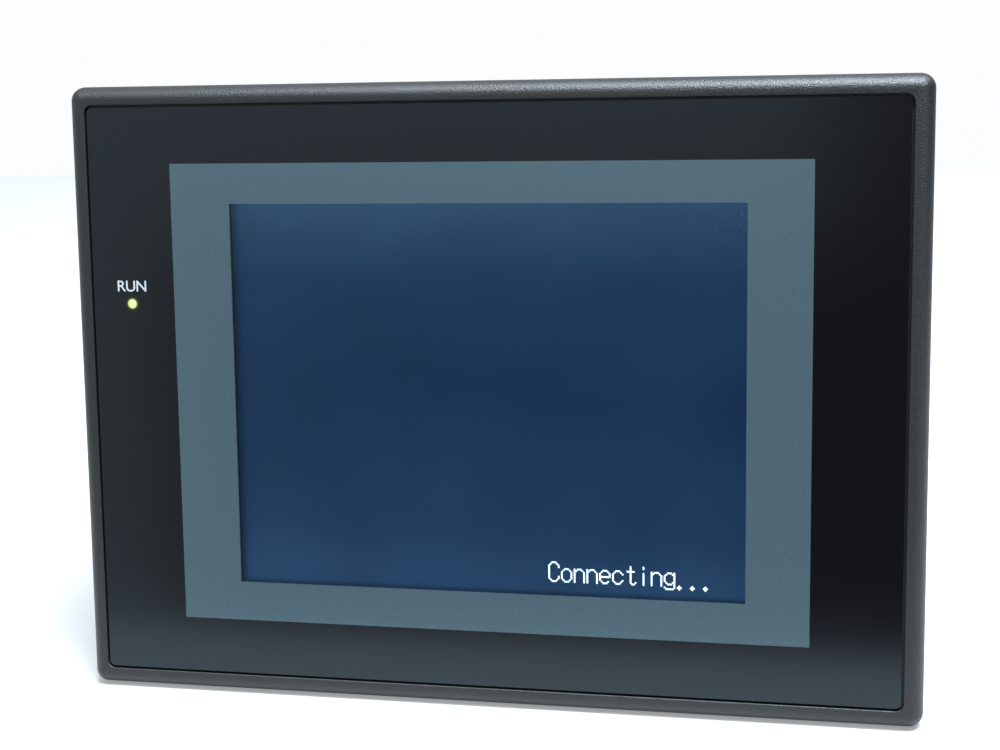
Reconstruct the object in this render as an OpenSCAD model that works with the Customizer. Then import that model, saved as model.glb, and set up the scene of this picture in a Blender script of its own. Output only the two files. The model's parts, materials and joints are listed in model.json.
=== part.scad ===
// Touch panel: a 5.7 inch operator terminal that is clamped in a rectangular panel cut-out.
// The front faces -Y, +X is to the viewer's right and +Z is up.
// The origin is the centre of the panel seat, the plane of the gasket's rear face.

/* [Overall] */
// Width of the front bezel
bezel_w = 195; // [190:1:240]
// Height of the front bezel
bezel_h = 142; // [138:1:175]
// Depth from the bezel's face to the rear face
total_d = 54; // [54:1:70]

/* [Front bezel] */
// Thickness of the flange
flange_t = 5; // [4.8:0.1:6]
// Depth of the flange's rolled front edge
roll_t = 4; // [2:0.5:4.5]
// Width of the rolled edge seen from the front
roll_w = 3; // [1:0.25:3]
// Radius of the bezel's corners seen from the front
bezel_corner_r = 3.2; // [3.1:0.1:6]
// How far the flange reaches past the body on every side
flange_lip = 6; // [6:0.1:9]
// Width of the border around the overlay's recess
border_w = 4.25; // [4.25:0.05:6]
// Corner radius of the overlay's recess
recess_corner_r = 1.8; // [1:0.1:3]
// Thickness of the web that carries the touch panel and the display
web_t = 1.6; // [1.2:0.1:2]
// Width of the sight opening in the web
sight_w = 124; // [119:1:128]
// Height of the sight opening in the web
sight_h = 95; // [90:1:98]

/* [Overlay and touch panel] */
// Thickness of the overlay film
film_t = 0.35; // [0.2:0.05:0.4]
// How far the recess is deeper than the film
film_sink = 0.1; // [0:0.05:0.2]
// Gap between the film's edge and the recess
film_gap = 0.6; // [0.1:0.05:0.7]
// Depth of the groove around the film
groove_t = 0.8; // [0.4:0.1:1.2]
// Width of the touch panel
touch_w = 141; // [134:1:144]
// Height of the touch panel
touch_h = 103; // [101:1:105]
// Thickness of the touch panel
touch_t = 1.9; // [1.4:0.1:2]
// Width of the touch panel's flat lead
tail_w = 14; // [8:1:20]
// Distance of the run lamp from the bezel's left edge
lamp_inset = 14.3; // [13:0.1:16]
// Height of the run lamp over the panel's centre
lamp_z = 21.1; // [18:0.1:26]
// Radius of the run lamp's light pipe
pipe_r = 1.5; // [1:0.1:1.8]

/* [Gasket] */
// Width of the gasket
gasket_w = 3; // [2:0.1:3.2]
// Thickness of the gasket
gasket_t = 2; // [1.2:0.1:2.2]
// How far the gasket stands out of the flange
gasket_proud = 0.6; // [0.4:0.1:1]
// Distance from the body to the gasket
gasket_inset = 1.2; // [0.8:0.1:1.4]

/* [Display] */
// Width of the display module, without its ears
lcd_w = 146; // [144:1:148]
// Height of the display module
lcd_h = 106; // [105:1:107]
// Width of the display module across its ears
lcd_ear_w = 158; // [156:1:159]
// Width of the opening in the display's metal frame
view_w = 120; // [118:1:122]
// Height of the opening in the display's metal frame
view_h = 91; // [89:1:93]
// Thickness of the display's sheet metal
lcd_metal_t = 0.4; // [0.3:0.05:0.5]
// Thickness of the glass cell
cell_t = 2.1; // [1.6:0.1:2.2]
// Thickness of the light guide
guide_t = 4; // [3:0.1:4]
// Thickness of the display's plastic tray floor
tray_floor_t = 0.9; // [0.7:0.1:1.1]
// Thickness of the dust seal
seal_t = 0.5; // [0.4:0.1:0.6]
// Radius of the cold cathode lamp
lamp_r = 1.3; // [0.9:0.1:1.4]

/* [Body] */
// Thickness of the body's walls
wall_t = 2.2; // [1.8:0.1:2.7]
// Radius of the body's corners
body_corner_r = 3; // [2.8:0.1:4]
// Length of the bezel's skirt behind the seat
skirt_len = 11; // [10:0.5:12]
// Gap along the seam between the bezel's skirt and the rear case
seam_gap = 0.3; // [0.1:0.1:0.5]
// Thickness of the tongue in the seam's lap joint
lap_t = 1; // [0.7:0.1:1.2]
// Length of the lap joint
lap_len = 2.8; // [2:0.1:3]
// Distance of the case screws from the body's sides
screw_inset = 5.7; // [5.6:0.1:6]
// Radius of the bezel's screw bosses
boss_r = 4; // [3.4:0.1:4.8]
// Radius of the rear case's screw wells
well_r = 4.2; // [4:0.1:4.8]

/* [Connector bay] */
// Width of the bay
bay_w = 160; // [158:1:161]
// Height of the bay
bay_h = 32; // [30:1:36]
// Distance from the seat to the bay's front side
bay_front = 22.2; // [22.2:0.1:23]
// Places of the two serial ports along X
serial_x = [27, -8];
// Distance between a serial port's jack posts
jack_pitch = 25; // [25:0.1:25]
// Radius of the jack posts' threaded bores
jack_bore_r = 1.3; // [1.2:0.05:1.4]
// Place of the USB port along X
usb_x = -38; // [-39:1:-37]
// Place of the network port along X
lan_x = -62; // [-63:1:-60]
// Place of the power terminal along X
terminal_x = 62; // [61:1:63]
// Number of power terminals
terminals = 3; // [2:1:3]

/* [Rear and sides] */
// Diameter of the backup battery
battery_d = 14.5; // [12:0.1:15]
// Length of the backup battery
battery_len = 25; // [20:1:28]
// Width of the battery compartment
tub_w = 42; // [38:1:44]
// Height of the battery compartment
tub_h = 26; // [22:1:27]
// Thickness of the battery cover
cover_t = 2; // [1.6:0.1:2.4]
// Radius of the battery cover's hinge pins
hinge_pin_r = 0.8; // [0.6:0.05:0.9]
// Width of the expansion connector's opening
expansion_w = 45; // [44:1:48]
// Height of the expansion connector's opening
expansion_h = 14; // [13:1:16]
// Width of the memory card slot's mouth
card_w = 43.6; // [43:0.1:44]
// Height of the memory card slot's mouth
card_t = 3.9; // [3.5:0.1:3.9]
// Number of setting switches
dips = 6; // [2:1:6]
// Travel of a setting switch
dip_travel = 2; // [1.5:0.1:2]
// Travel of the reset button
reset_travel = 0.5; // [0.3:0.1:0.6]
// Travel of the card's eject button
eject_travel = 3; // [2:0.5:3]
// Width of a ventilation slot
vent_w = 2.4; // [1.6:0.1:3]
// Distance between ventilation slots
vent_pitch = 6; // [5:0.5:8]
// Length of a mounting bracket's slot
bracket_slot_w = 14; // [12:0.5:16]
// Width of a mounting bracket's slot
bracket_slot_t = 4; // [3:0.1:4]

/* [Boards] */
// Thickness of the circuit boards
board_t = 1.6; // [1.2:0.1:1.8]
// Thickness of the chassis plate
chassis_t = 1; // [0.8:0.1:1.2]
// Distance from the seat to the chassis plate
chassis_y = 10.5; // [10.3:0.1:10.8]
// Gap between the chassis plate and the main board
main_gap = 2; // [2:0.1:2.2]
// Gap between the main board and the port board
stack_gap = 6.9; // [6.9:0.1:7.5]

/* [Clearances] */
// Play around a piece that drops into its place
fit_gap = 0.3; // [0.2:0.05:0.4]
// Play between a moving piece and what it passes
move_gap = 0.35; // [0.3:0.05:0.4]
// Radial play of a pin in its bore
pin_play = 0.06; // [0.04:0.01:0.08]
// Radial play of a screw in its pilot hole
thread_play = 0.05; // [0.02:0.01:0.08]

/* [Hidden] */
$fn = 64;
over = 1; // how far a cutter reaches past a face

// Levels along Y, from the bezel's face to the rear
flange_back = -gasket_proud;
face_y = flange_back - flange_t;
back_y = face_y + total_d;
reflector_t = 0.3;
guide_gap = 0.1; // gap between the glass cell and the light guide
film_floor = face_y + film_t + film_sink;
touch_back = film_floor + touch_t;
web_back = touch_back + web_t;
lcd_front = web_back + seal_t;
cell_front = lcd_front + lcd_metal_t;
cell_back = cell_front + cell_t;
guide_front = cell_back + guide_gap;
guide_back = guide_front + guide_t;
tray_back = guide_back + reflector_t + tray_floor_t;
driver_y = tray_back;
driver_t = 1;
chassis_back = chassis_y + chassis_t;
main_y = chassis_back + main_gap;
main_back = main_y + board_t;
ports_y = main_back + stack_gap;
ports_back = ports_y + board_t;

// The body
body_w = bezel_w - 2 * flange_lip;
body_h = bezel_h - 2 * flange_lip;
inner_w = body_w - 2 * wall_t;
inner_h = body_h - 2 * wall_t;
inner_back = back_y - wall_t;
case_front = skirt_len + seam_gap;
screw_x = body_w / 2 - screw_inset;
screw_z = body_h / 2 - screw_inset;
pilot_r = 1.25;
case_pilot_y = 3; // bottom of the case screws' pilot holes
end_gap = 0.3; // gap at the end of the lap joint
boss_back = skirt_len + lap_len + 0.1;
head_depth = 18;
head_seat_y = back_y - head_depth; // seat of the case screws' heads
head_bore_r = 3.2;
case_hole_r = 1.7;
case_head_r = 2.8;
case_head_h = 2.2;
lap_w = inner_w + 2 * lap_t;
lap_h = inner_h + 2 * lap_t;
lap_gap = 0.1;
bracket_x = 60; // places of the bracket slots along X
bracket_gap = 0.9; // distance from the lap joint to the bracket slots
bracket_y = skirt_len + lap_len + bracket_gap; // front edge of the bracket slots

// The overlay and the display
recess_w = bezel_w - 2 * border_w;
recess_h = bezel_h - 2 * border_w;
pocket_w = touch_w + 2 * fit_gap;
pocket_h = touch_h + 2 * fit_gap;
tail_x = -27;
tail_z = -lcd_h / 2 - 2.5;
tail_t = 0.2;
tail_play = 1; // room around the lead in the bezel
sight_r = 2;
seal_w = 4; // width of the dust seal's sides
seal_gap = 1; // distance from the sight opening to the dust seal
run_x = -bezel_w / 2 + lamp_inset;
pipe_back = 8;
lcd_screw_x = lcd_ear_w / 2 - 3;
lcd_screw_z = 45;
small_pilot_r = 1.05;
small_head_r = 2.2;
small_head_h = 1.6;
board_head_r = 2.4;
board_head_h = 1.8;
lcd_screw_len = 3.3;
lcd_boss_r = 2.4;
chassis_screw_len = 7.5;
led_r = 1.5;
led_flange_r = 1.9;
pilot_end = 0.5; // how far a pilot hole goes past its screw's tip
tray_w = lcd_w - 2 * lcd_metal_t - 2 * fit_gap;
tray_h = lcd_h - 2 * lcd_metal_t - 2 * fit_gap;
cell_w = 132;
cell_h = 100;
guide_w = 126;
guide_h = 94;
guide_z = -2.5;
tube_gap = 0.3;
tube_z = guide_z + guide_h / 2 + lamp_r + tube_gap;
tube_y = (guide_front + guide_back) / 2;
tube_len = 124;
tube_cap_len = 4;
metal_inset = 0.4; // how far the display's metal stops short of its driver board
driver_w = 116;
driver_h = 68;
driver_chip_t = 1.2;
lead_way = 2.4; // width of the notches that the lamp's lead leaves by

// The chassis plate and its posts
chassis_w = body_w - 11;
chassis_h = body_h - 21;
post_x = body_w / 2 - 8.3;
post_z = 36;
post_r = 3.2;

// The boards
main_h = body_h - 22;
ports_w = body_w - 7;
ports_top = body_h / 2 - 11;
notch_x = 5; // left edge of the port board's notch for the inverter
notch_z = ports_top - 13;
stand_x = body_w / 2 - 11;
stand_top_z = body_h / 2 - 18;
low_stand_x = 76;
low_stand_z = body_h / 2 - 17;
stand_r = 2.5;
stand_screw_r = 1.45;
board_gap = 0.15; // radial play of a screw in a board
cap_r = 5;
cap_h = 14;

// The connector bay
bay_top = -body_h / 2 + bay_h;
ceiling_top = bay_top + wall_t;
ports_bottom = ceiling_top + 1.3;
stand_low_z = ports_bottom + 3;
serial_y = ports_back + 6.3;
serial_w = 31;
serial_t = 12.5;
shell_w = 17;
shell_t = 8.4;
shell_drop = 6; // how far a serial port's shell stands out of the bay's ceiling
post_drop = 5; // how far a jack post stands out of the bay's ceiling
jack_r = 2.6;
shank_r = 1.4;
jack_reach = 3; // how far a jack post's shank goes in above the ceiling
usb_size = [12, 10.8, 16];
lan_size = [16, 13.4, 21];
port_drop = 0.6; // how far the USB and network ports stand out of the ceiling
terminal_pitch = 9.5;
terminal_w = terminals * terminal_pitch + 1.5;
terminal_t = 14;
terminal_drop = 15;
terminal_up = 3.6; // how far the terminal block reaches above the ceiling's upper side
terminal_screw_z = bay_top - 5;

// The rear face
cover_gap = 0.3;
tub_wall = 1.6;
tub_x = -body_w / 2 + 11.5 + tub_w / 2;
tub_z = body_h / 2 - 15 - tub_h / 2;
tub_floor = back_y - cover_t - cover_gap - battery_d - 0.4;
battery_y = tub_floor + battery_d / 2;
battery_x = tub_x - tub_w / 2 + 3.5 + battery_len / 2;
battery_z = tub_z + tub_h / 2 - 0.7 - battery_d / 2;
knuckle_r = 1.2;
hinge_y = back_y - knuckle_r;
hinge_z = tub_z - tub_h / 2 + knuckle_r + move_gap;
hinge_pin_len = 1.6;
battery_plug_x = tub_x + tub_w / 2 - 9;
battery_plug_z = tub_z - tub_h / 2 + 5;
socket_y = tub_floor - tub_wall - 0.4; // top of the battery's socket on the port board
expansion_x = -body_w / 2 + 39;
expansion_z = 7;
expansion_plate_t = 1.4;
expansion_margin = 2.5; // how far the cover's plate reaches past the opening
leg_t = 1.2;
leg_len = 6;
label_w = 68;
label_h = 30;
label_x = 34;
label_z = body_h / 2 - 30;
label_t = 0.25;
vent_top_z = body_h / 2 - 8;
vent_low_z = bay_top + 10;
vent_h = 8;
vent_edge = 13.5; // distance from the body's side to the first slot
top_vents = [27, 41]; // from and to along Y, in the top wall
top_vent_reach = 72;
low_vent_reach = 42;
label_sink = 0.3;
label_gap = 0.5;

// The side walls
card_y = ports_back + 3.2;
card_z = 6;
card_depth = 34;
eject_z = card_z + 30;
eject_rod = 4;
eject_reach = 30; // how far the eject button's rod goes inwards from the case's side
lever_x = body_w / 2 - eject_reach - 4;
lever_z = card_z + 20;
lever_y = ports_back + 7.3;
lever_t = 1.2;
button_arm = eject_z - lever_z;
plate_arm = 16;
lever_pin_r = 1;
pivot_r = 1.3;
eject_angle = asin(eject_travel / button_arm);
dip_pitch = 2.54;
dip_z = 10.5;
dip_y = ports_back + 3.4;
dip_face_x = -body_w / 2 + wall_t + 0.6;
dip_body_t = 6;
dip_w = 1.4;
dip_knob = 1.2; // length of a slider along its travel
dip_reach = (dip_travel + dip_knob) / 2;
dip_sunk = 1; // how far a slider reaches into the body
reset_z = -4;
reset_y = ports_back + 3;
reset_r = 1.5;
reset_face_x = -body_w / 2 + 0.3;
reset_len = 2.9;

// ---- Shapes ----

// A box between two opposite corners
module box(from, to) {
    translate(from) cube(to - from);
}

// A flat outline with round corners, centred
module rounded(w, h, r) {
    if (r > 0) {
        square([w - 2 * r, h], center = true);
        square([w, h - 2 * r], center = true);
        for (sx = [-1, 1], sy = [-1, 1])
            translate([sx * (w / 2 - r), sy * (h / 2 - r)]) circle(r);
    } else {
        square([w, h], center = true);
    }
}

// A plate parallel to the panel, from y0 to y1, centred at [x, z]
module slab(w, h, y0, y1, r = 0, x = 0, z = 0) {
    translate([x, y1, z]) rotate([90, 0, 0]) linear_extrude(y1 - y0) rounded(w, h, r);
}

// A rectangular ring parallel to the panel
module ring(w, h, band, y0, y1, r = 0) {
    difference() {
        slab(w, h, y0, y1, r);
        slab(w - 2 * band, h - 2 * band, y0 - over, y1 + over, max(r - band, 0));
    }
}

// Round rods along each axis
module rod_y(r, y0, y1, x = 0, z = 0) {
    translate([x, y0, z]) rotate([-90, 0, 0]) cylinder(h = y1 - y0, r = r);
}
module rod_x(r, x0, x1, y = 0, z = 0) {
    translate([x0, y, z]) rotate([0, 90, 0]) cylinder(h = x1 - x0, r = r);
}
module rod_z(r, z0, z1, x = 0, y = 0) {
    translate([x, y, z0]) cylinder(h = z1 - z0, r = r);
}

// Its children at the four corners of a rectangle
module at_corners(dx, dz) {
    for (sx = [-1, 1], sz = [-1, 1]) translate([sx * dx, 0, sz * dz]) children();
}

// A thin flat strip, bent along points [y, z] and as wide as w along X
module strip(points, t, w, x) {
    for (i = [0:len(points) - 2]) {
        p = points[i];
        q = points[i + 1];
        box([x - w / 2, min(p[0], q[0]) - t / 2, min(p[1], q[1]) - t / 2],
            [x + w / 2, max(p[0], q[0]) + t / 2, max(p[1], q[1]) + t / 2]);
    }
}

// A round wire through a list of points
module wire(points, r) {
    for (i = [0:len(points) - 2]) {
        run = points[i + 1] - points[i];
        translate(points[i]) rotate([0, acos(run[2] / norm(run)), atan2(run[1], run[0])])
            cylinder(h = norm(run), r = r, $fn = 24);
    }
    for (i = [1:len(points) - 2]) translate(points[i]) sphere(r * 1.1, $fn = 24);
}

// A cross-headed screw along Y: its head from y = 0 rearwards, its shank towards the front
module screw(head_r, head_h, shank, length) {
    difference() {
        rod_y(head_r, 0, head_h);
        for (a = [0, 90]) rotate([0, a, 0])
            box([-head_r * 0.6, head_h * 0.5, -head_r * 0.13],
                [head_r * 0.6, head_h + over, head_r * 0.13]);
    }
    rod_y(shank, -length, 0.1);
}

// ---- Front ----

// Section of the flange's edge: x runs outwards and y runs towards the front
module rolled_section() {
    intersection() {
        square([bezel_corner_r, flange_t]);
        union() {
            square([bezel_corner_r, flange_t - roll_t]);
            square([bezel_corner_r - roll_w, flange_t]);
            translate([bezel_corner_r - roll_w, flange_t - roll_t]) scale([roll_w / roll_t, 1])
                circle(roll_t);
        }
    }
}

// The flange's blank, lying with its front upwards
module flange_blank() {
    side_x = bezel_w / 2 - bezel_corner_r;
    side_y = bezel_h / 2 - bezel_corner_r;
    translate([-side_x, -side_y, 0]) cube([2 * side_x, 2 * side_y, flange_t]);
    for (turn = [0, 180]) rotate(turn) {
        translate([-side_x, side_y, 0]) rotate([90, 0, 90]) linear_extrude(2 * side_x)
            rolled_section();
        translate([side_x, side_y, 0]) rotate([90, 0, 0]) linear_extrude(2 * side_y)
            rolled_section();
        translate([side_x, side_y, 0]) rotate_extrude(angle = 90) rolled_section();
        translate([-side_x, side_y, 0]) rotate(90) rotate_extrude(angle = 90) rolled_section();
    }
}

module front_bezel() {
    color("#3b3d40") difference() {
        union() {
            translate([0, flange_back, 0]) rotate([90, 0, 0]) flange_blank();
            difference() {
                union() {
                    slab(body_w, body_h, flange_back - over, skirt_len, body_corner_r);
                    slab(lap_w, lap_h, skirt_len - over, skirt_len + lap_len,
                        body_corner_r - wall_t + lap_t);
                }
                slab(inner_w, inner_h, flange_back, boss_back + over, body_corner_r - wall_t);
            }
            at_corners(screw_x, screw_z) rod_y(boss_r, flange_back - over, boss_back);
            at_corners(post_x, post_z) rod_y(post_r, flange_back - over, chassis_y);
        }
        slab(recess_w, recess_h, face_y - over, film_floor, recess_corner_r);
        ring(recess_w, recess_h, film_gap, film_floor - over, film_floor + groove_t,
            recess_corner_r);
        slab(pocket_w, pocket_h, film_floor - over, touch_back);
        slab(sight_w, sight_h, touch_back - over, web_back + over, sight_r);
        difference() {
            slab(lcd_ear_w + 2 * fit_gap, lcd_h + 2 * fit_gap, web_back, flange_back + over);
            at_corners(lcd_screw_x, lcd_screw_z) rod_y(lcd_boss_r, web_back - over, lcd_front);
        }
        gasket_ring(flange_back + over);
        rod_y(pipe_r + pin_play, film_floor - over, flange_back + over, run_x, lamp_z);
        at_corners(screw_x, screw_z) rod_y(pilot_r, case_pilot_y, boss_back + over);
        at_corners(post_x, post_z)
            rod_y(small_pilot_r, chassis_back - chassis_screw_len - pilot_end, chassis_y + over);
        at_corners(lcd_screw_x, lcd_screw_z)
            rod_y(small_pilot_r, cell_front - lcd_screw_len - pilot_end, lcd_front + over);
        // The way out for the touch panel's lead
        box([tail_x - tail_w / 2 - tail_play, film_floor + 0.3, tail_z - tail_play],
            [tail_x + tail_w / 2 + tail_play, touch_back, -touch_h / 2]);
        box([tail_x - tail_w / 2 - tail_play, touch_back - over, tail_z - tail_play],
            [tail_x + tail_w / 2 + tail_play, flange_back + over, tail_z + tail_play]);
    }
}

module overlay_film() {
    color("#2a2d31") slab(recess_w - 2 * film_gap, recess_h - 2 * film_gap,
        film_floor - film_t, film_floor, recess_corner_r - film_gap);
}

module touch_panel() {
    color("#5c6f78") slab(touch_w, touch_h, film_floor, touch_back);
}

module touch_tail() {
    tail_y = (film_floor + touch_back) / 2;
    color("#b8863a") {
        strip([[tail_y, -touch_h / 2 - tail_t / 2], [tail_y, tail_z], [main_back + 1, tail_z],
            [main_back + 1, -main_h / 2 + 2.5]], tail_t, tail_w, tail_x);
    }
}

module dust_seal() {
    color("#202224") difference() {
        slab(sight_w + 2 * (seal_gap + seal_w), sight_h + 2 * (seal_gap + seal_w) - 2,
            web_back, lcd_front);
        slab(sight_w + 2 * seal_gap, sight_h + 2 * seal_gap, web_back - over, lcd_front + over);
    }
}

module panel_gasket() {
    color("#1c1d1f") gasket_ring(0);
}

// The gasket's ring, from the bottom of its groove back to y1
module gasket_ring(y1) {
    reach = 2 * (gasket_inset + gasket_w);
    ring(body_w + reach, body_h + reach, gasket_w, -gasket_t, y1, body_corner_r + gasket_w);
}

module run_light_pipe() {
    color("#d8e2c4") rod_y(pipe_r, film_floor, pipe_back, run_x, lamp_z);
}

module run_led() {
    color("#c9e84a") {
        rod_y(led_r, pipe_back + 0.4, main_y - 1, run_x, lamp_z);
        rod_y(led_flange_r, main_y - 1.1, main_y, run_x, lamp_z);
    }
}

// ---- Display module ----

module lcd_bezel() {
    depth = driver_y - metal_inset;
    color("#b9bcbe") difference() {
        union() {
            slab(lcd_ear_w, lcd_h, lcd_front, cell_front);
            slab(lcd_w, lcd_h, lcd_front, depth);
        }
        slab(lcd_w - 2 * lcd_metal_t, lcd_h - 2 * lcd_metal_t, cell_front, depth + over);
        slab(view_w, view_h, lcd_front - over, cell_front + over);
        at_corners(lcd_screw_x, lcd_screw_z)
            rod_y(small_pilot_r + 0.3, lcd_front - over, cell_front + over);
        // The way out for the lamp's lead
        box([lcd_w / 2 - 2, cell_back, tube_z - lead_way / 2],
            [lcd_w / 2 + over, depth + over, tube_z + lead_way / 2]);
    }
}

module lcd_cell() {
    color("#2b4a74") slab(cell_w, cell_h, cell_front, cell_back);
}

module light_guide() {
    color("#dfe8ec") slab(guide_w, guide_h, guide_front, guide_back, 0, 0, guide_z);
}

module reflector_sheet() {
    color("#f2f2f0") slab(guide_w, guide_h, guide_back, guide_back + reflector_t, 0, 0, guide_z);
}

module backlight_lamp() {
    color("#f4f6ee") rod_x(lamp_r, -tube_len / 2, tube_len / 2, tube_y, tube_z);
    color("#202224") for (s = [-1, 1])
        rod_x(lamp_r + tube_gap, (s * tube_len - tube_cap_len) / 2,
            (s * tube_len + tube_cap_len) / 2, tube_y, tube_z);
}

module lcd_tray() {
    channel = 2 * lamp_r + 1.4;
    color("#e6e6e0") difference() {
        slab(tray_w, tray_h, cell_front, tray_back);
        slab(cell_w + 2 * fit_gap, cell_h + 2 * fit_gap, cell_front - over, cell_back);
        slab(guide_w + 2 * fit_gap, guide_h + 2 * fit_gap, cell_back - over,
            tray_back - tray_floor_t, 0, 0, guide_z);
        slab(tube_len + 6, channel, cell_back - over, tray_back - tray_floor_t, 0, 0,
            tube_z);
        // The way out for the lamp's lead
        box([tube_len / 2, cell_back - over, tube_z - lead_way / 2],
            [tray_w / 2 + over, tray_back + over, tube_z + lead_way / 2]);
    }
}

module lcd_driver_board() {
    y1 = driver_y + driver_t;
    color("#2d6b45") slab(driver_w, driver_h, driver_y, y1);
    color("#222426") for (x = [-42, -21, 21, 42])
        slab(14, 14, y1, y1 + driver_chip_t, 0, x, 19);
    color("#d9d4c4") slab(32, 4, y1, y1 + driver_chip_t, 0, 0, -28);
}

module lcd_cable() {
    top_y = driver_y + driver_t + 1.3;
    low_y = chassis_back + 0.7;
    color("#c9cbd0") strip([[top_y, -27], [top_y, -37], [low_y, -37], [low_y, -44]],
        0.2, 28, 0);
    color("#e6e2d4") box([-16, low_y + 0.1, -46], [16, main_y, -42]);
}

module lcd_screws() {
    color("#c8cacc") at_corners(lcd_screw_x, lcd_screw_z) translate([0, cell_front, 0])
        screw(small_head_r, small_head_h, small_pilot_r - thread_play, lcd_screw_len);
}

// ---- Chassis and boards ----

module chassis_plate() {
    color("#a9adb0") difference() {
        slab(chassis_w, chassis_h, chassis_y, chassis_back, 2);
        at_corners(post_x, post_z) rod_y(1.4, chassis_y - over, chassis_back + over);
        at_stand_points() rod_y(stand_screw_r + pin_play, chassis_y - over, chassis_back + over);
        rod_y(2.6, chassis_y - over, chassis_back + over, run_x, lamp_z);
        box([-18, chassis_y - over, -40], [18, chassis_back + over, -34]);
    }
}

module chassis_screws() {
    color("#c8cacc") at_corners(post_x, post_z) translate([0, chassis_back, 0])
        screw(board_head_r, small_head_h, small_pilot_r - thread_play, chassis_screw_len);
}

// Its children where the boards' screws are, top, middle and bottom
module at_stand_points() {
    at_upper_stands() children();
    for (s = [-1, 1]) translate([s * low_stand_x, 0, -low_stand_z]) children();
}

module at_upper_stands() {
    for (s = [-1, 1], z = [stand_top_z, stand_low_z]) translate([s * stand_x, 0, z]) children();
}

module main_board() {
    color("#1f5c3a") difference() {
        slab(chassis_w, main_h, main_y, main_back);
        at_stand_points() rod_y(stand_screw_r + board_gap, main_y - over, main_back + over);
    }
    // Flat lead socket, and rows of small parts
    color("#e6e2d4") box([tail_x - 9, main_back, -main_h / 2 + 2.6],
        [tail_x + 9, main_back + 2, -main_h / 2 + 7]);
    color("#c9b98a") for (x = [-60:8:60]) box([x, main_back, -36], [x + 3, main_back + 1.6, -34]);
    color("#26282a") for (x = [-50, -34, 46])
        box([x, main_back, -26], [x + 9, main_back + 2, -17]);
}

module cpu_chip() {
    color("#26282a") box([-14, main_back + 0.3, -5], [14, main_back + 3.2, 23]);
    color("#c9cbd0") box([-15.5, main_back, -3.5], [15.5, main_back + 0.3, 21.5]);
}

module memory_chips() {
    for (x = [26, 44], z = [-2, 14]) {
        color("#26282a") box([x, main_back + 0.2, z], [x + 12, main_back + 1.6, z + 12]);
        color("#c9cbd0") box([x - 0.8, main_back, z + 1], [x + 12.8, main_back + 0.2, z + 11]);
    }
}

module board_spacers() {
    color("#d0c48a") {
        at_stand_points() difference() {
            rod_y(stand_r, chassis_back, main_y);
            rod_y(stand_screw_r + board_gap, chassis_back - over, main_y + over);
        }
        at_upper_stands() difference() {
            rod_y(stand_r, main_back, ports_y);
            rod_y(stand_screw_r + board_gap, main_back - over, ports_y + over);
        }
    }
}

module board_screws() {
    reach = chassis_y - 1;
    color("#c8cacc") {
        at_upper_stands() translate([0, ports_back, 0])
            screw(board_head_r, board_head_h, stand_screw_r, ports_back - reach);
        for (s = [-1, 1]) translate([s * low_stand_x, main_back, -low_stand_z])
            screw(board_head_r, board_head_h, stand_screw_r, main_back - reach);
    }
}

module inverter_board() {
    color("#1f5c3a") difference() {
        box([notch_x + 1, ports_y, notch_z + 1], [ports_w / 2, ports_back, ports_top]);
        translate([stand_x, 0, stand_top_z])
            rod_y(stand_screw_r + board_gap, ports_y - over, ports_back + over);
    }
    color("#e6e2d4") box([notch_x + 56, ports_back, notch_z + 3],
        [notch_x + 64, ports_back + 4, notch_z + 9]);
    // Post that carries the board's free end
    color("#d0c48a") rod_y(stand_r, main_back, ports_y, notch_x + 4, notch_z + 7);
}

module inverter_transformer() {
    color("#2c2a28") box([notch_x + 12, ports_back, notch_z + 2.5],
        [notch_x + 18, ports_back + 7, notch_z + 11.5]);
    color("#2c2a28") box([notch_x + 36, ports_back, notch_z + 2.5],
        [notch_x + 42, ports_back + 7, notch_z + 11.5]);
    color("#b06f35") rod_x(3.3, notch_x + 18, notch_x + 36, ports_back + 3.6, notch_z + 7);
}

module lamp_lead() {
    plug = [notch_x + 60, ports_back + 4.6, notch_z + 6];
    side_x = lcd_w / 2 + 1.8;
    top_z = body_h / 2 - 7;
    color("#e8e4da") for (s = [-0.8, 0.8])
        wire([[tube_len / 2 + 2.2, tube_y + s, tube_z], [tray_w / 2 - 1, tube_y + s, tube_z],
            [side_x, tube_y + s, tube_z], [side_x, tube_y + 3 + s, top_z + s],
            [side_x, ports_back + 9 + s, top_z + s], plug + [s * 1.6, 1.5, 0]], 0.5);
    color("#f0ead8") translate(plug - [3.6, 0.6, 2.6]) cube([7.2, 2.4, 5.2]);
}

module port_board() {
    half = ports_w / 2;
    color("#1f5c3a") difference() {
        box([-half, ports_y, ports_bottom], [half, ports_back, ports_top]);
        box([notch_x, ports_y - over, notch_z],
            [half + over, ports_back + over, ports_top + over]);
        at_upper_stands() rod_y(stand_screw_r + board_gap, ports_y - over, ports_back + over);
    }
    color("#e6e2d4") box([battery_plug_x - 4, ports_back, battery_plug_z - 3],
        [battery_plug_x + 4, socket_y, battery_plug_z + 3]);
    color("#26282a") for (x = [-22, -6]) box([x, ports_back, 26], [x + 10, ports_back + 2, 40]);
    color("#c9b98a") for (x = [-24:7:8]) box([x, ports_back, -14], [x + 3, ports_back + 1.4, -12]);
}

module stack_connector() {
    color("#26282a")
        box([-25, main_back, stand_top_z - 2], [notch_x - 3, ports_y, stand_top_z + 4]);
}

module power_module() {
    color("#303236") box([8, ports_back, -15], [42, ports_back + 9, -1]);
}

module capacitors() {
    for (p = [[16, 8], [16, 22], [30, 15]]) {
        color("#23262d") rod_y(cap_r, ports_back + 0.4, ports_back + cap_h, p[0], p[1]);
        color("#c9cbd0") rod_y(cap_r - 0.4, ports_back, ports_back + cap_h + 0.1, p[0], p[1]);
    }
}

// ---- Ports in the bay ----

// Outline of a nine-way serial port, its wide side towards -Y
module d_outline(w, t) {
    r = 1.6;
    slope = 0.9;
    rounded(w - 2 * slope, t, r);
    translate([0, -t / 4]) rounded(w, t / 2, r);
}

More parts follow.
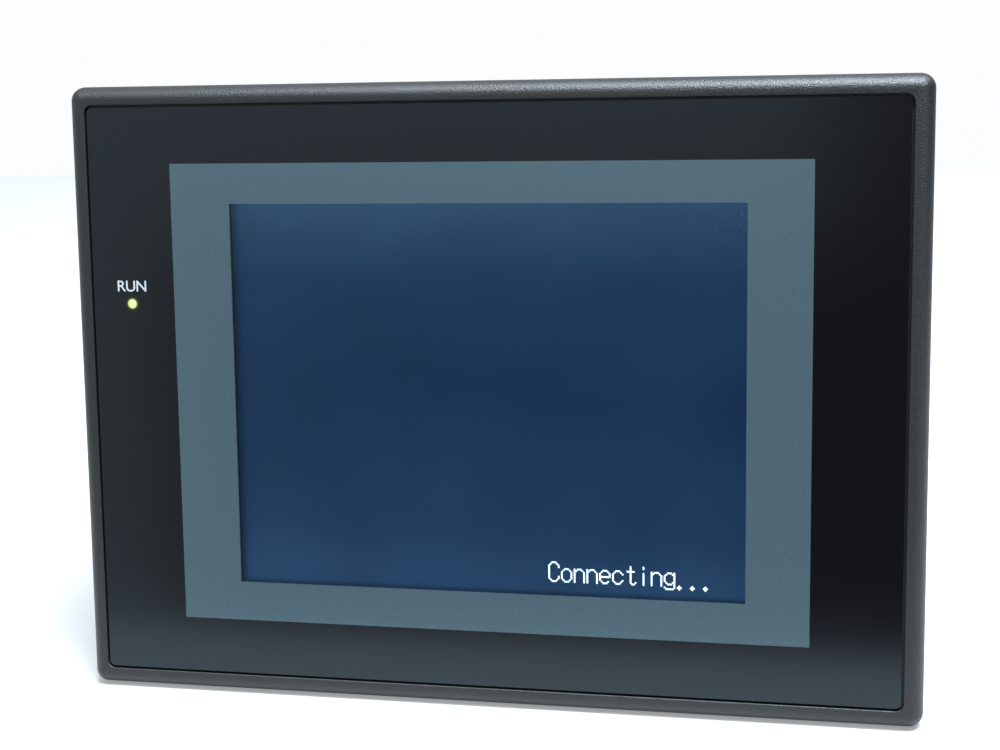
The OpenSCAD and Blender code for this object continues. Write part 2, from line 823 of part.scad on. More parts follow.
module port_shells() {
    color("#c4c7c9") for (x = serial_x) translate([x, serial_y, 0]) difference() {
        union() {
            translate([-serial_w / 2, -serial_t / 2, ceiling_top])
                cube([serial_w, serial_t, 0.8]);
            translate([0, 0, bay_top - shell_drop])
                linear_extrude(shell_drop + wall_t + 0.4) d_outline(shell_w, shell_t);
        }
        translate([0, 0, bay_top - shell_drop - over])
            linear_extrude(shell_drop + wall_t + over + 2) d_outline(shell_w - 1, shell_t - 1);
        for (s = [-1, 1]) rod_z(shank_r + pin_play, ceiling_top - over, ceiling_top + 2,
            s * jack_pitch / 2);
    }
}

module port_inserts() {
    for (x = serial_x) translate([x, serial_y, 0]) {
        color("#1c1d1f") difference() {
            union() {
                translate([0, 0, ceiling_top - 1]) linear_extrude(1.9)
                    d_outline(shell_w - 1.2, shell_t - 1.2);
                translate([-serial_w / 2 + 1.5, ports_back - serial_y, ceiling_top + 0.8])
                    cube([serial_w - 3, serial_t - 0.6, 9]);
            }
            for (s = [-1, 1]) rod_z(shank_r + pin_play, ceiling_top - over,
                ceiling_top + jack_reach + 0.2, s * jack_pitch / 2);
        }
        color("#d8b04a") for (i = [0:8]) {
            row = i < 5 ? 0 : 1;
            px = row == 0 ? (i - 2) * 2.77 : (i - 6.5) * 2.77;
            rod_z(0.5, bay_top - shell_drop + 1, ceiling_top, px, row * 2.84 - 1.42, $fn = 16);
        }
    }
}

module jack_posts() {
    color("#c4c7c9") for (x = serial_x, s = [-1, 1])
        translate([x + s * jack_pitch / 2, serial_y, 0]) difference() {
            union() {
                translate([0, 0, bay_top - post_drop]) cylinder(h = post_drop, r = jack_r, $fn = 6);
                rod_z(shank_r, bay_top - 0.1, ceiling_top + jack_reach);
            }
            rod_z(jack_bore_r, bay_top - post_drop - over, bay_top - 0.4);
        }
}

module usb_port() {
    y0 = ports_back;
    z0 = bay_top - port_drop;
    color("#c4c7c9") translate([usb_x - usb_size[0] / 2, y0, z0]) difference() {
        cube(usb_size);
        translate([1.6, 1.2, -over]) cube([usb_size[0] - 3.2, usb_size[1] - 2.4, 9.5 + over]);
    }
    color("#f0f0ee") translate([usb_x - 2.8, y0 + usb_size[1] / 2 - 1.6, z0 + 0.6])
        cube([5.6, 3.2, 9]);
}

module ethernet_port() {
    z0 = bay_top - port_drop;
    color("#c4c7c9") translate([lan_x - lan_size[0] / 2, ports_back, z0]) difference() {
        cube(lan_size);
        translate([2.1, 1.6, -over]) cube([11.8, 8.2, 13 + over]);
        translate([5, 9.7, -over]) cube([6, 1.6, 13 + over]);
    }
    color("#d8b04a") for (i = [0:7])
        translate([lan_x + (i - 3.5) * 1.02 - 0.2, ports_back + 1.6, z0 + 2]) cube([0.4, 0.8, 10]);
}

// The terminals' middles along X
function terminal_at(i) = terminal_x + (i - (terminals - 1) / 2) * terminal_pitch;

module terminal_block() {
    z0 = bay_top - terminal_drop;
    y1 = ports_back + terminal_t;
    color("#2a2c2e") difference() {
        box([terminal_x - terminal_w / 2, ports_back, z0],
            [terminal_x + terminal_w / 2, y1, ceiling_top + terminal_up]);
        for (i = [0:terminals - 1]) {
            // Screw well, clamp chamber and wire entry
            rod_y(3.1, y1 - 5.2, y1 + over, terminal_at(i), terminal_screw_z);
            box([terminal_at(i) - 3.7, y1 - 12, z0 - over],
                [terminal_at(i) + 3.7, y1 - 5, terminal_screw_z + 4]);
        }
    }
}

module terminal_screws() {
    color("#c8cacc") for (i = [0:terminals - 1])
        translate([terminal_at(i), ports_back + terminal_t - 5, terminal_screw_z])
            screw(2.8, 2, 1.6, 5.4);
}

module terminal_clamps() {
    y1 = ports_back + terminal_t - 5;
    color("#c9b24a") for (i = [0:terminals - 1]) difference() {
        box([terminal_at(i) - 3.5, y1 - 6.6, terminal_screw_z - 3.4],
            [terminal_at(i) + 3.5, y1, terminal_screw_z + 3.4]);
        box([terminal_at(i) - 2.6, y1 - 5.6, terminal_screw_z - 4],
            [terminal_at(i) + 2.6, y1 - 1.3, terminal_screw_z + 4]);
        rod_y(1.65, y1 - 2, y1 + over, terminal_at(i), terminal_screw_z);
    }
}

// ---- Card slot and its ejector ----

module card_header() {
    x1 = body_w / 2 - wall_t - 2;
    x0 = x1 - card_depth;
    y0 = ports_back;
    y1 = card_y + card_t / 2 + 0.8;
    color("#2a2c2e") difference() {
        box([x0 - 6, y0, card_z - card_w / 2 - 1.6], [x1, y1, card_z + card_w / 2 + 1.6]);
        box([x0, y0 + 0.8, card_z - card_w / 2], [x1 + over, y1 + over, card_z + card_w / 2]);
    }
    // Rails that hold the card's edges
    color("#2a2c2e") for (s = [-1, 1])
        box([x0, card_y + card_t / 2 - 0.2, card_z + s * (card_w / 2 - 0.75) - 0.85],
            [x1, y1, card_z + s * (card_w / 2 - 0.75) + 0.85]);
    color("#d8b04a") for (z = [-18:3:18]) box([x0 - 0.1, card_y - 0.5, card_z + z - 0.3],
        [x0 + 4, card_y + 0.5, card_z + z + 0.3]);
}

module eject_button() {
    x1 = body_w / 2 - 0.2;
    y0 = card_y - eject_rod / 2;
    color("#3a3c3f") difference() {
        union() {
            box([x1 - eject_reach, y0, eject_z - eject_rod / 2],
                [x1, y0 + eject_rod, eject_z + eject_rod / 2]);
            // Eye that takes the lever's short arm
            box([lever_x - 4, y0 + eject_rod - 0.6, eject_z - 3],
                [x1 - eject_reach + 6, lever_y - move_gap, eject_z + 3]);
        }
        pin_slot(eject_z, -1, button_arm);
    }
}

// A slot for a pin of the lever at height z, longer towards the pivot as the pin swings
module pin_slot(z, towards, arm) {
    swing = arm * (1 - cos(eject_angle));
    far = lever_pin_r + move_gap;
    near = far + swing;
    box([lever_x - lever_pin_r - pin_play, card_y, z - (towards > 0 ? far : near)],
        [lever_x + lever_pin_r + pin_play, lever_y + over, z + (towards > 0 ? near : far)]);
}

module eject_lever() {
    color("#b9bcbe") difference() {
        union() {
            box([lever_x - 2.4, lever_y, lever_z - plate_arm - 1.8],
                [lever_x + 2.4, lever_y + lever_t, eject_z + 1.8]);
            rod_y(3.2, lever_y, lever_y + lever_t, lever_x, lever_z);
            for (z = [eject_z, lever_z - plate_arm])
                rod_y(lever_pin_r, lever_y - 2, lever_y + 0.1, lever_x, z);
        }
        rod_y(pivot_r + pin_play, lever_y - over, lever_y + lever_t + over, lever_x, lever_z);
    }
}

module ejector_plate() {
    y0 = lever_y - 2;
    plate_t = 0.8;
    pin_z = lever_z - plate_arm;
    color("#b9bcbe") {
        difference() {
            box([lever_x - 3, y0, pin_z - 16], [lever_x + 20, y0 + plate_t, pin_z + 8]);
            pin_slot(pin_z, 1, plate_arm);
        }
        // Tabs behind the card's edge
        for (z = [[-14, -3], [3.5, 7]])
            box([lever_x + 1.5, card_y - 1, pin_z + z[0]],
                [lever_x + 2.5, y0 + 0.1, pin_z + z[1]]);
    }
}

// ---- Switches on the left side ----

function dip_at(i) = dip_z + (i - (dips + 1) / 2) * dip_pitch;

module dip_body() {
    half = dips * dip_pitch / 2 + 1;
    color("#a02f2a") difference() {
        box([dip_face_x, ports_back, dip_z - half],
            [dip_face_x + dip_body_t, dip_y + dip_travel / 2 + 2, dip_z + half]);
        for (i = [1:dips])
            box([dip_face_x - over, dip_y - dip_reach - move_gap,
                 dip_at(i) - dip_w / 2 - move_gap],
                [dip_face_x + dip_sunk + move_gap, dip_y + dip_reach + move_gap,
                 dip_at(i) + dip_w / 2 + move_gap]);
    }
}

module dip_slider(i) {
    color("#f0f0ee") box([dip_face_x - 1.8, dip_y - dip_reach, dip_at(i) - dip_w / 2],
        [dip_face_x + dip_sunk, dip_y - dip_reach + dip_knob, dip_at(i) + dip_w / 2]);
}

module reset_switch() {
    x0 = reset_face_x + reset_len + reset_travel + 0.4;
    color("#26282a") box([x0, ports_back, reset_z - 3], [x0 + 5, reset_y + 3, reset_z + 3]);
}

module reset_button() {
    flange_x = -body_w / 2 + wall_t + move_gap;
    color("#c23a34") {
        rod_x(reset_r, reset_face_x, flange_x + 0.1, reset_y, reset_z);
        rod_x(reset_r + 0.7, flange_x, reset_face_x + reset_len, reset_y, reset_z);
    }
}

// ---- Battery ----

module battery() {
    color("#3b7f9c") rod_x(battery_d / 2, battery_x - battery_len / 2, battery_x + battery_len / 2,
        battery_y, battery_z);
    color("#c9cbd0") for (s = [-1, 1])
        rod_x(3, battery_x + s * battery_len / 2 - 0.4, battery_x + s * battery_len / 2 + 0.4,
            battery_y, battery_z);
}

module battery_lead() {
    end_x = battery_x + battery_len / 2 + 1.1;
    bend_x = end_x + 4;
    plug_y = tub_floor + 1;
    for (s = [1, -1]) {
        tab_y = battery_y + s * 1.5;
        plug_x = battery_plug_x - s;
        color(s > 0 ? "#c23a34" : "#26282a")
            wire([[end_x, tab_y, battery_z], [bend_x, tab_y, battery_z],
                [plug_x, battery_y, battery_plug_z + 5], [plug_x, plug_y + 3, battery_plug_z]], 0.6);
    }
    color("#f0ead8") box([battery_plug_x - 3.5, socket_y, battery_plug_z - 2.4],
        [battery_plug_x + 3.5, plug_y + 3.2, battery_plug_z + 2.4]);
}

module battery_cover() {
    half = tub_w / 2 - cover_gap;
    top = tub_z + tub_h / 2 - cover_gap;
    color("#3f4144") {
        box([tub_x - half, back_y - cover_t, hinge_z], [tub_x + half, back_y, top]);
        rod_x(knuckle_r, tub_x - half, tub_x + half, hinge_y, hinge_z);
        rod_x(hinge_pin_r, tub_x - half - hinge_pin_len, tub_x + half + hinge_pin_len,
            hinge_y, hinge_z);
    }
}

// ---- Rear case ----

// Ventilation slots in a row along X, cut through a wall parallel to the panel
module vent_row(x0, x1, z, h) {
    for (x = [x0:vent_pitch:x1])
        box([x - vent_w / 2, back_y - wall_t - over, z - h / 2],
            [x + vent_w / 2, back_y + over, z + h / 2]);
}

module rear_case() {
    color("#45484b") difference() {
        union() {
            difference() {
                slab(body_w, body_h, case_front, back_y, body_corner_r);
                slab(inner_w, inner_h, case_front - over, inner_back, body_corner_r - wall_t);
            }
            // Walls around the connector bay
            box([-bay_w / 2 - wall_t, bay_front - wall_t, -body_h / 2],
                [bay_w / 2 + wall_t, back_y, ceiling_top]);
            at_corners(screw_x, screw_z) rod_y(well_r, boss_back, back_y);
            // Battery compartment
            box([tub_x - tub_w / 2 - tub_wall, tub_floor - tub_wall, tub_z - tub_h / 2 - tub_wall],
                [tub_x + tub_w / 2 + tub_wall, inner_back + 0.1, tub_z + tub_h / 2 + tub_wall]);
            // Pivot of the card's eject lever
            rod_y(pivot_r, lever_y - 0.6, inner_back + 0.1, lever_x, lever_z);
            rod_y(2.6, lever_y + lever_t + move_gap, inner_back + 0.1, lever_x, lever_z);
        }
        slab(lap_w + 2 * lap_gap, lap_h + 2 * lap_gap, case_front - over, skirt_len + lap_len + end_gap,
            body_corner_r - wall_t + lap_t + lap_gap);
        bay_cuts();
        battery_cuts();
        at_corners(screw_x, screw_z) {
            rod_y(boss_r + lap_gap, case_front - over, boss_back);
            rod_y(head_bore_r, head_seat_y, back_y + over);
            rod_y(case_hole_r, boss_back - over, head_seat_y + over);
        }
        for (z = [vent_top_z, vent_low_z])
            vent_row(-body_w / 2 + vent_edge, body_w / 2 - vent_edge, z, vent_h);
        top_and_bottom_cuts();
        side_cuts();
        slab(label_w + 2 * label_gap, label_h + 2 * label_gap, back_y - label_sink, back_y + over,
            1.5, label_x, label_z);
        // Expansion connector's opening and the recess for its cover
        slab(expansion_w, expansion_h, inner_back - over, back_y + over, 0,
            expansion_x, expansion_z);
        slab(expansion_w + 2 * expansion_margin, expansion_h + 2 * expansion_margin,
            back_y - expansion_plate_t, back_y + over, 1, expansion_x, expansion_z);
    }
}

module bay_cuts() {
    box([-bay_w / 2, bay_front, -body_h / 2 - over], [bay_w / 2, back_y + over, bay_top]);
    for (x = serial_x) translate([x, serial_y, bay_top - over]) {
        linear_extrude(wall_t + 2 * over) d_outline(shell_w + 2 * fit_gap, shell_t + 2 * fit_gap);
        for (s = [-1, 1]) rod_z(shank_r + pin_play, 0, wall_t + 2 * over, s * jack_pitch / 2);
    }
    port_cut(usb_x, usb_size[0], usb_size[1]);
    port_cut(lan_x, lan_size[0], lan_size[1]);
    port_cut(terminal_x, terminal_w, terminal_t);
}

// A rectangular way through the bay's ceiling for a port
module port_cut(x, w, t) {
    box([x - w / 2 - fit_gap, ports_back - fit_gap, bay_top - over],
        [x + w / 2 + fit_gap, ports_back + t + fit_gap, ceiling_top + over]);
}

module battery_cuts() {
    difference() {
        box([tub_x - tub_w / 2, tub_floor, tub_z - tub_h / 2],
            [tub_x + tub_w / 2, back_y + over, tub_z + tub_h / 2]);
        // Ledge that stops the cover
        box([tub_x - 8, back_y - cover_t - cover_gap - 2.2, tub_z + tub_h / 2 - 0.6],
            [tub_x + 8, back_y - cover_t - cover_gap, tub_z + tub_h / 2 + over]);
    }
    box([battery_plug_x - 4.2, tub_floor - tub_wall - over, battery_plug_z - 3.2],
        [battery_plug_x + 4.2, tub_floor + over, battery_plug_z + 3.2]);
    rod_x(hinge_pin_r + pin_play, tub_x - tub_w / 2 - hinge_pin_len - 0.2,
        tub_x + tub_w / 2 + hinge_pin_len + 0.2, hinge_y, hinge_z);
    // Finger scoop over the cover's free edge
    translate([tub_x, back_y + 3, tub_z + tub_h / 2 + 0.6]) rotate([0, 90, 0])
        cylinder(h = 14, r = 4.2, center = true);
}

module top_and_bottom_cuts() {
    for (sx = [-1, 1], sz = [-1, 1]) translate([sx * bracket_x, 0, sz * body_h / 2])
        box([-bracket_slot_w / 2, bracket_y, -wall_t - over],
            [bracket_slot_w / 2, bracket_y + bracket_slot_t, wall_t + over]);
    for (x = [-top_vent_reach:vent_pitch:top_vent_reach])
        box([x - vent_w / 2, top_vents[0], body_h / 2 - wall_t - over],
            [x + vent_w / 2, top_vents[1], body_h / 2 + over]);
    for (x = [-low_vent_reach:vent_pitch:low_vent_reach])
        box([x - vent_w / 2, bracket_y, -body_h / 2 - over],
            [x + vent_w / 2, bracket_y + 4, -body_h / 2 + wall_t + over]);
}

module side_cuts() {
    wall_x = body_w / 2 - wall_t - over;
    hole = eject_rod / 2 + move_gap;
    // Memory card's mouth and the eject button's hole
    box([wall_x, card_y - card_t / 2, card_z - card_w / 2],
        [body_w / 2 + over, card_y + card_t / 2, card_z + card_w / 2]);
    box([wall_x, card_y - hole, eject_z - hole],
        [body_w / 2 + over, card_y + hole, eject_z + hole]);
    // Setting switches' window and the reset button's hole
    box([-body_w / 2 - over, dip_y - dip_travel / 2 - 1.2, dip_at(1) - 1.4],
        [-wall_x, dip_y + dip_travel / 2 + 1.2, dip_at(dips) + 1.4]);
    rod_x(reset_r + move_gap, -body_w / 2 - over, -wall_x, reset_y, reset_z);
}

module rear_label() {
    color("#d5d7d6") slab(label_w, label_h, back_y - label_sink, back_y - label_sink + label_t,
        1.2, label_x, label_z);
}

module expansion_connector() {
    y1 = inner_back - 3;
    color("#2a2c2e") difference() {
        slab(41, 8, ports_back, y1, 0, expansion_x, expansion_z);
        slab(37, 2.4, y1 - 8, y1 + over, 0, expansion_x, expansion_z);
    }
}

module expansion_cover() {
    w = expansion_w + 2 * expansion_margin - 2 * move_gap;
    h = expansion_h + 2 * expansion_margin - 2 * move_gap;
    leg_z = expansion_h / 2 - move_gap - leg_t;
    color("#3f4144") {
        slab(w, h, back_y - expansion_plate_t, back_y, 0.8, expansion_x, expansion_z);
        for (s = [-1, 1], x = [-14, 14])
            box([expansion_x + x - 4, back_y - expansion_plate_t - leg_len,
                 expansion_z + s * (leg_z + leg_t / 2) - leg_t / 2],
                [expansion_x + x + 4, back_y - expansion_plate_t + 0.1,
                 expansion_z + s * (leg_z + leg_t / 2) + leg_t / 2]);
    }
}

module case_screws() {
    color("#c8cacc") at_corners(screw_x, screw_z) translate([0, head_seat_y, 0])
        screw(case_head_r, case_head_h, pilot_r - thread_play, head_seat_y - case_pilot_y - 1);
}

front_bezel();
overlay_film();
touch_panel();
touch_tail();
dust_seal();
panel_gasket();
run_light_pipe();
run_led();
lcd_bezel();
lcd_cell();
light_guide();
reflector_sheet();
backlight_lamp();
lcd_tray();
lcd_driver_board();
lcd_cable();
lamp_lead();
lcd_screws();
chassis_plate();
chassis_screws();
inverter_board();
inverter_transformer();
main_board();
cpu_chip();
memory_chips();
board_spacers();
board_screws();
port_board();
stack_connector();
power_module();
capacitors();
port_shells();
port_inserts();
jack_posts();
usb_port();
ethernet_port();
terminal_block();
terminal_screws();
terminal_clamps();
card_header();
eject_button();
eject_lever();
ejector_plate();
dip_body();
for (i = [1:dips]) dip_slider(i);
reset_switch();
reset_button();
battery();
battery_lead();
battery_cover();
rear_case();
rear_label();
expansion_connector();
expansion_cover();
case_screws();
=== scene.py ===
# %% [markdown]
# # A panel-mount touch terminal
#
# The object is an operator terminal: a dark moulded bezel with a printed film over a touch
# screen, and a body behind it that goes through a hole in a control panel. The CAD model gives
# every part's place and size. This file gives the parts their edges, finishes and light.
#
# All lengths are in metres in the CAD frame: the front faces -Y, +X is to the right, +Z is up.

# %% Load the frame
import json
import math

import bpy
from mathutils import Euler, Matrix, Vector


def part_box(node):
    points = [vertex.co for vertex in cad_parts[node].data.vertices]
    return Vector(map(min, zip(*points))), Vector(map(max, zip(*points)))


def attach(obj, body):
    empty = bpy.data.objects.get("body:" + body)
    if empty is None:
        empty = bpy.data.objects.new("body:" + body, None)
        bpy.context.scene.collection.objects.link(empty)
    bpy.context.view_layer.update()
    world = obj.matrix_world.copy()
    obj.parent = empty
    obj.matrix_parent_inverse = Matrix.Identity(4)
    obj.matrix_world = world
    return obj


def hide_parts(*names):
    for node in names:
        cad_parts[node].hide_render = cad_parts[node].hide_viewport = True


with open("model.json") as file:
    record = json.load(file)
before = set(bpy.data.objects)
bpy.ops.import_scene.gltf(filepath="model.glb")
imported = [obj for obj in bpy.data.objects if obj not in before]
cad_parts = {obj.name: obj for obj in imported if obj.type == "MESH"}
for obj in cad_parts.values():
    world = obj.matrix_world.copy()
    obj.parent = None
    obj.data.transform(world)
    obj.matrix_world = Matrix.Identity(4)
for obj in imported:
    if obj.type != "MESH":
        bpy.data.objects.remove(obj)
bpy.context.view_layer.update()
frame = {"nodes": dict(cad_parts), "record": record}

MM = 0.001
nodes = frame["nodes"]

# %% [markdown]
# ## Camera
#
# The camera comes first, because it decides what has to be sharp. It stands to the right of the
# screen and a little above it, 0.4 m away, which is how somebody photographs a small device on
# a table. The lens is a short telephoto, so that the far side doesn't shrink too much. A camera
# could be aimed with a Track To constraint; a plain place and turn are easier to read.

# %% Camera
camera_data = bpy.data.cameras.new("camera")
camera_data.lens = 64.77
camera_data.sensor_width = 36
camera = bpy.data.objects.new("camera", camera_data)
bpy.context.scene.collection.objects.link(camera)
camera.location = (0.0898, -0.3937, 0.0624)
camera.rotation_euler = Euler([math.radians(a) for a in (81.9165, 0.7212, 12.3580)], "XYZ")
bpy.context.scene.camera = camera
print("camera at", tuple(camera.location))

# %% [markdown]
# ## Working by hand, in code
#
# The pieces are made with the same operators that a person clicks. Operators act on whatever is
# selected, so every step starts by deselecting everything and then picks faces or edges by
# where they are. These few helpers keep that short.


# %% Helpers for modelling
def only(piece):
    """Selects this piece alone and makes it active."""
    if bpy.context.object and bpy.context.object.mode != "OBJECT":
        bpy.ops.object.mode_set(mode="OBJECT")
    bpy.ops.object.select_all(action="DESELECT")
    piece.select_set(True)
    bpy.context.view_layer.objects.active = piece


def edit(piece, mode="FACE"):
    """Goes into edit mode with nothing selected."""
    only(piece)
    bpy.ops.object.mode_set(mode="EDIT")
    bpy.ops.mesh.select_mode(type=mode)
    bpy.ops.mesh.select_all(action="DESELECT")


def done():
    bpy.ops.object.mode_set(mode="OBJECT")


def pick_edges(piece, test):
    """Selects the edges whose two ends both pass the test. Returns how many there are."""
    edit(piece, "EDGE")
    done()
    mesh = piece.data
    for e in mesh.edges:
        e.select = all(test(mesh.vertices[i].co) for i in e.vertices)
    count = sum(e.select for e in mesh.edges)
    bpy.ops.object.mode_set(mode="EDIT")
    return count


def plate(name, width, height, front, back, radius=0.0, steps=8, at=(0.0, 0.0)):
    """A plate parallel to the panel, from front to back along Y, with round corners."""
    bpy.ops.object.select_all(action="DESELECT")
    bpy.ops.mesh.primitive_plane_add(
        size=1, location=(at[0], front, at[1]), rotation=(math.radians(90), 0, 0)
    )
    piece = bpy.context.object
    piece.name = name
    piece.scale = (width, height, 1)
    bpy.ops.object.transform_apply(location=True, rotation=True, scale=True)
    edit(piece, "VERT")
    bpy.ops.mesh.select_all(action="SELECT")
    if radius:
        bpy.ops.mesh.bevel(offset=radius, segments=steps, affect="VERTICES")
        bpy.ops.mesh.select_all(action="SELECT")
    move = {"value": (0, back - front, 0)}
    bpy.ops.mesh.extrude_region_move(TRANSFORM_OT_translate=move)
    bpy.ops.mesh.select_all(action="SELECT")
    bpy.ops.mesh.normals_make_consistent(inside=False)
    done()
    return piece


def rod(name, radius, start, end, at, axis="Y", sides=48):
    """A round bar along an axis, at its two other coordinates."""
    turn = {"X": (0, math.radians(90), 0), "Y": (math.radians(90), 0, 0), "Z": (0, 0, 0)}[axis]
    middle = (start + end) / 2
    place = {
        "X": (middle, at[0], at[1]),
        "Y": (at[0], middle, at[1]),
        "Z": (at[0], at[1], middle),
    }[axis]
    bpy.ops.object.select_all(action="DESELECT")
    bpy.ops.mesh.primitive_cylinder_add(
        vertices=sides, radius=radius, depth=abs(end - start), location=place, rotation=turn
    )
    bpy.context.object.name = name
    bpy.ops.object.transform_apply(location=True, rotation=True, scale=True)
    return bpy.context.object


def combine(piece, tool, how):
    """Cuts the tool from the piece, or welds it on, and removes the tool."""
    step = piece.modifiers.new(how, "BOOLEAN")
    step.operation = how
    step.object = tool
    step.solver = "EXACT"
    only(piece)
    bpy.ops.object.modifier_apply(modifier=step.name)
    bpy.data.objects.remove(tool)


def cut(piece, tool):
    combine(piece, tool, "DIFFERENCE")


def weld(piece, tool):
    combine(piece, tool, "UNION")


SHARP = math.radians(35)  # edges that turn more than this are edges, others are curves


def soften(piece, width):
    """Rounds every sharp edge, as a mould or a tumbling barrel does.

    The large faces then keep their own direction, so that the shading turns only at the edges."""
    step = piece.modifiers.new("round", "BEVEL")
    step.width = width
    step.segments = 2
    step.limit_method = "ANGLE"
    step.angle_limit = SHARP
    step.use_clamp_overlap = True
    only(piece)
    bpy.ops.object.modifier_apply(modifier=step.name)
    bpy.ops.object.shade_smooth_by_angle(angle=SHARP)
    step = piece.modifiers.new("flat_faces", "WEIGHTED_NORMAL")
    step.keep_sharp = True
    bpy.ops.object.modifier_apply(modifier=step.name)


def size_of(piece):
    return tuple(round(v / MM, 2) for v in piece.dimensions)


# %% [markdown]
# ## Materials
#
# Each material starts from what the real one is and how it was made. Colours are given as sRGB
# hex values, because that is how paint and plastic samples are read, and one function turns
# them into the linear values that the renderer works in. Patterns use Object coordinates, so
# they keep their real size in millimetres on every piece.


# %% Helpers for materials
def linear(hex_colour):
    """sRGB hex text to a linear colour with alpha 1."""
    values = [int(hex_colour[i : i + 2], 16) / 255 for i in (0, 2, 4)]
    return (*[v / 12.92 if v <= 0.04045 else ((v + 0.055) / 1.055) ** 2.4 for v in values], 1)


def start(name):
    """A new material with a Principled shader: (material, tree, shader)."""
    material = bpy.data.materials.new(name)
    material.use_nodes = True
    tree = material.node_tree
    return material, tree, tree.nodes["Principled BSDF"]


def add(tree, kind, settings=(), values=(), links=()):
    """Adds a node, sets its properties and inputs, and links its inputs from other sockets."""
    node = tree.nodes.new(kind)
    for key, value in dict(settings).items():
        setattr(node, key, value)
    for key, value in dict(values).items():
        node.inputs[key].default_value = value
    for key, socket in dict(links).items():
        tree.links.new(socket, node.inputs[key])
    return node


def place_of(tree):
    """The socket of Object coordinates."""
    return add(tree, "ShaderNodeTexCoord").outputs["Object"]


def noise(tree, size_mm, detail=2.0, roughness=0.5):
    """The value of a noise whose lumps are about this wide."""
    values = {"Scale": 1 / (size_mm * MM), "Detail": detail, "Roughness": roughness}
    node = add(tree, "ShaderNodeTexNoise", values=values, links={"Vector": place_of(tree)})
    return node.outputs["Fac"]


def spread(tree, socket, low, high):
    """Maps the middle of a noise's values, where nearly all of them are, onto low to high."""
    values = {1: 0.35, 2: 0.65, 3: low, 4: high}
    return add(tree, "ShaderNodeMapRange", values=values, links={0: socket}).outputs[0]


def tint(tree, socket, first, second):
    """Blends two colours by a value."""
    node = add(tree, "ShaderNodeMix", {"data_type": "RGBA"}, links={0: socket})
    node.inputs[6].default_value = first
    node.inputs[7].default_value = second
    return node.outputs[2]


def bump(tree, shader, height, depth_mm):
    values = {"Strength": 1.0, "Distance": depth_mm * MM}
    node = add(tree, "ShaderNodeBump", values=values, links={"Height": height})
    tree.links.new(node.outputs[0], shader.inputs["Normal"])


def shade(colour, factor):
    return (*[c * factor for c in colour[:3]], 1)


# %% [markdown]
# ### Moulded plastic
#
# Housings like this are injection-moulded from a blend of ABS and polycarbonate, in a tool
# whose walls were spark-eroded, so the skin is an even, fine grain 0.35 mm across. The
# grain breaks a highlight into sparkling specks, and in flat light the surface looks matte.
# The grain could be a displacement; a bump is enough, because it never shows in the outline.
# It is drawn deeper than the real few hundredths of a millimetre, so that it shows.


# %% Moulded plastic
def moulded_plastic(name, hex_colour, rough, grain_mm, depth_mm):
    material, tree, shader = start(name)
    colour = linear(hex_colour)
    grain = noise(tree, grain_mm, 3.0, 0.6)
    flow = noise(tree, 30.0)
    tone = tint(tree, spread(tree, flow, 0, 1), shade(colour, 0.93), shade(colour, 1.08))
    tree.links.new(tone, shader.inputs["Base Color"])
    rough_value = spread(tree, grain, rough - 0.06, rough + 0.08)
    tree.links.new(rough_value, shader.inputs["Roughness"])
    shader.inputs["IOR"].default_value = 1.53
    bump(tree, shader, grain, depth_mm)
    return material


HOUSING_GRAIN = 0.35  # mm
housing = moulded_plastic("eroded_abs_polycarbonate", "0F1213", 0.43, HOUSING_GRAIN, 0.15)
connector_black = moulded_plastic("glass_filled_nylon_black", "1E1F21", 0.4, 0.2, 0.01)
switch_red = moulded_plastic("nylon_red", "8C1F1B", 0.38, 0.2, 0.008)
switch_white = moulded_plastic("nylon_white", "E8E6DF", 0.4, 0.2, 0.008)
tray_white = moulded_plastic("polycarbonate_white", "DDDCD6", 0.45, 0.25, 0.01)
black_coat = moulded_plastic("stoved_black_coat", "131416", 0.5, 0.3, 0.004)
print("grain of the housing:", HOUSING_GRAIN, "mm")

# %% [markdown]
# ### Printed film
#
# The front is one sheet of polyester film with a fine matte hard coat. The black border and the
# grey band are printed on its back, so the colour looks deep under an even satin surface. The
# window is left unprinted. Its shader lets the display through and adds the film's own
# reflection by Fresnel, which also lets light pass, as a thin clear sheet does. The coat's
# grain is finer than the eye can see, and is drawn half a millimetre wide, so that it shows.


# %% Printed and clear film
HARD_COAT = (0.72, 0.92, 1.0, 1)  # what the coat's reflection keeps of white


def printed_film(name, hex_colour, rough=0.2):
    material, tree, shader = start(name)
    colour = linear(hex_colour)
    cloud = noise(tree, 0.55, 2.0)
    tone = tint(tree, spread(tree, cloud, 0, 1), shade(colour, 0.94), shade(colour, 1.06))
    tree.links.new(tone, shader.inputs["Base Color"])
    tree.links.new(spread(tree, cloud, rough - 0.015, rough + 0.015), shader.inputs["Roughness"])
    shader.inputs["IOR"].default_value = 1.5
    shader.inputs["Specular Tint"].default_value = HARD_COAT
    bump(tree, shader, noise(tree, 0.4, 2.0), 0.0012)
    return material


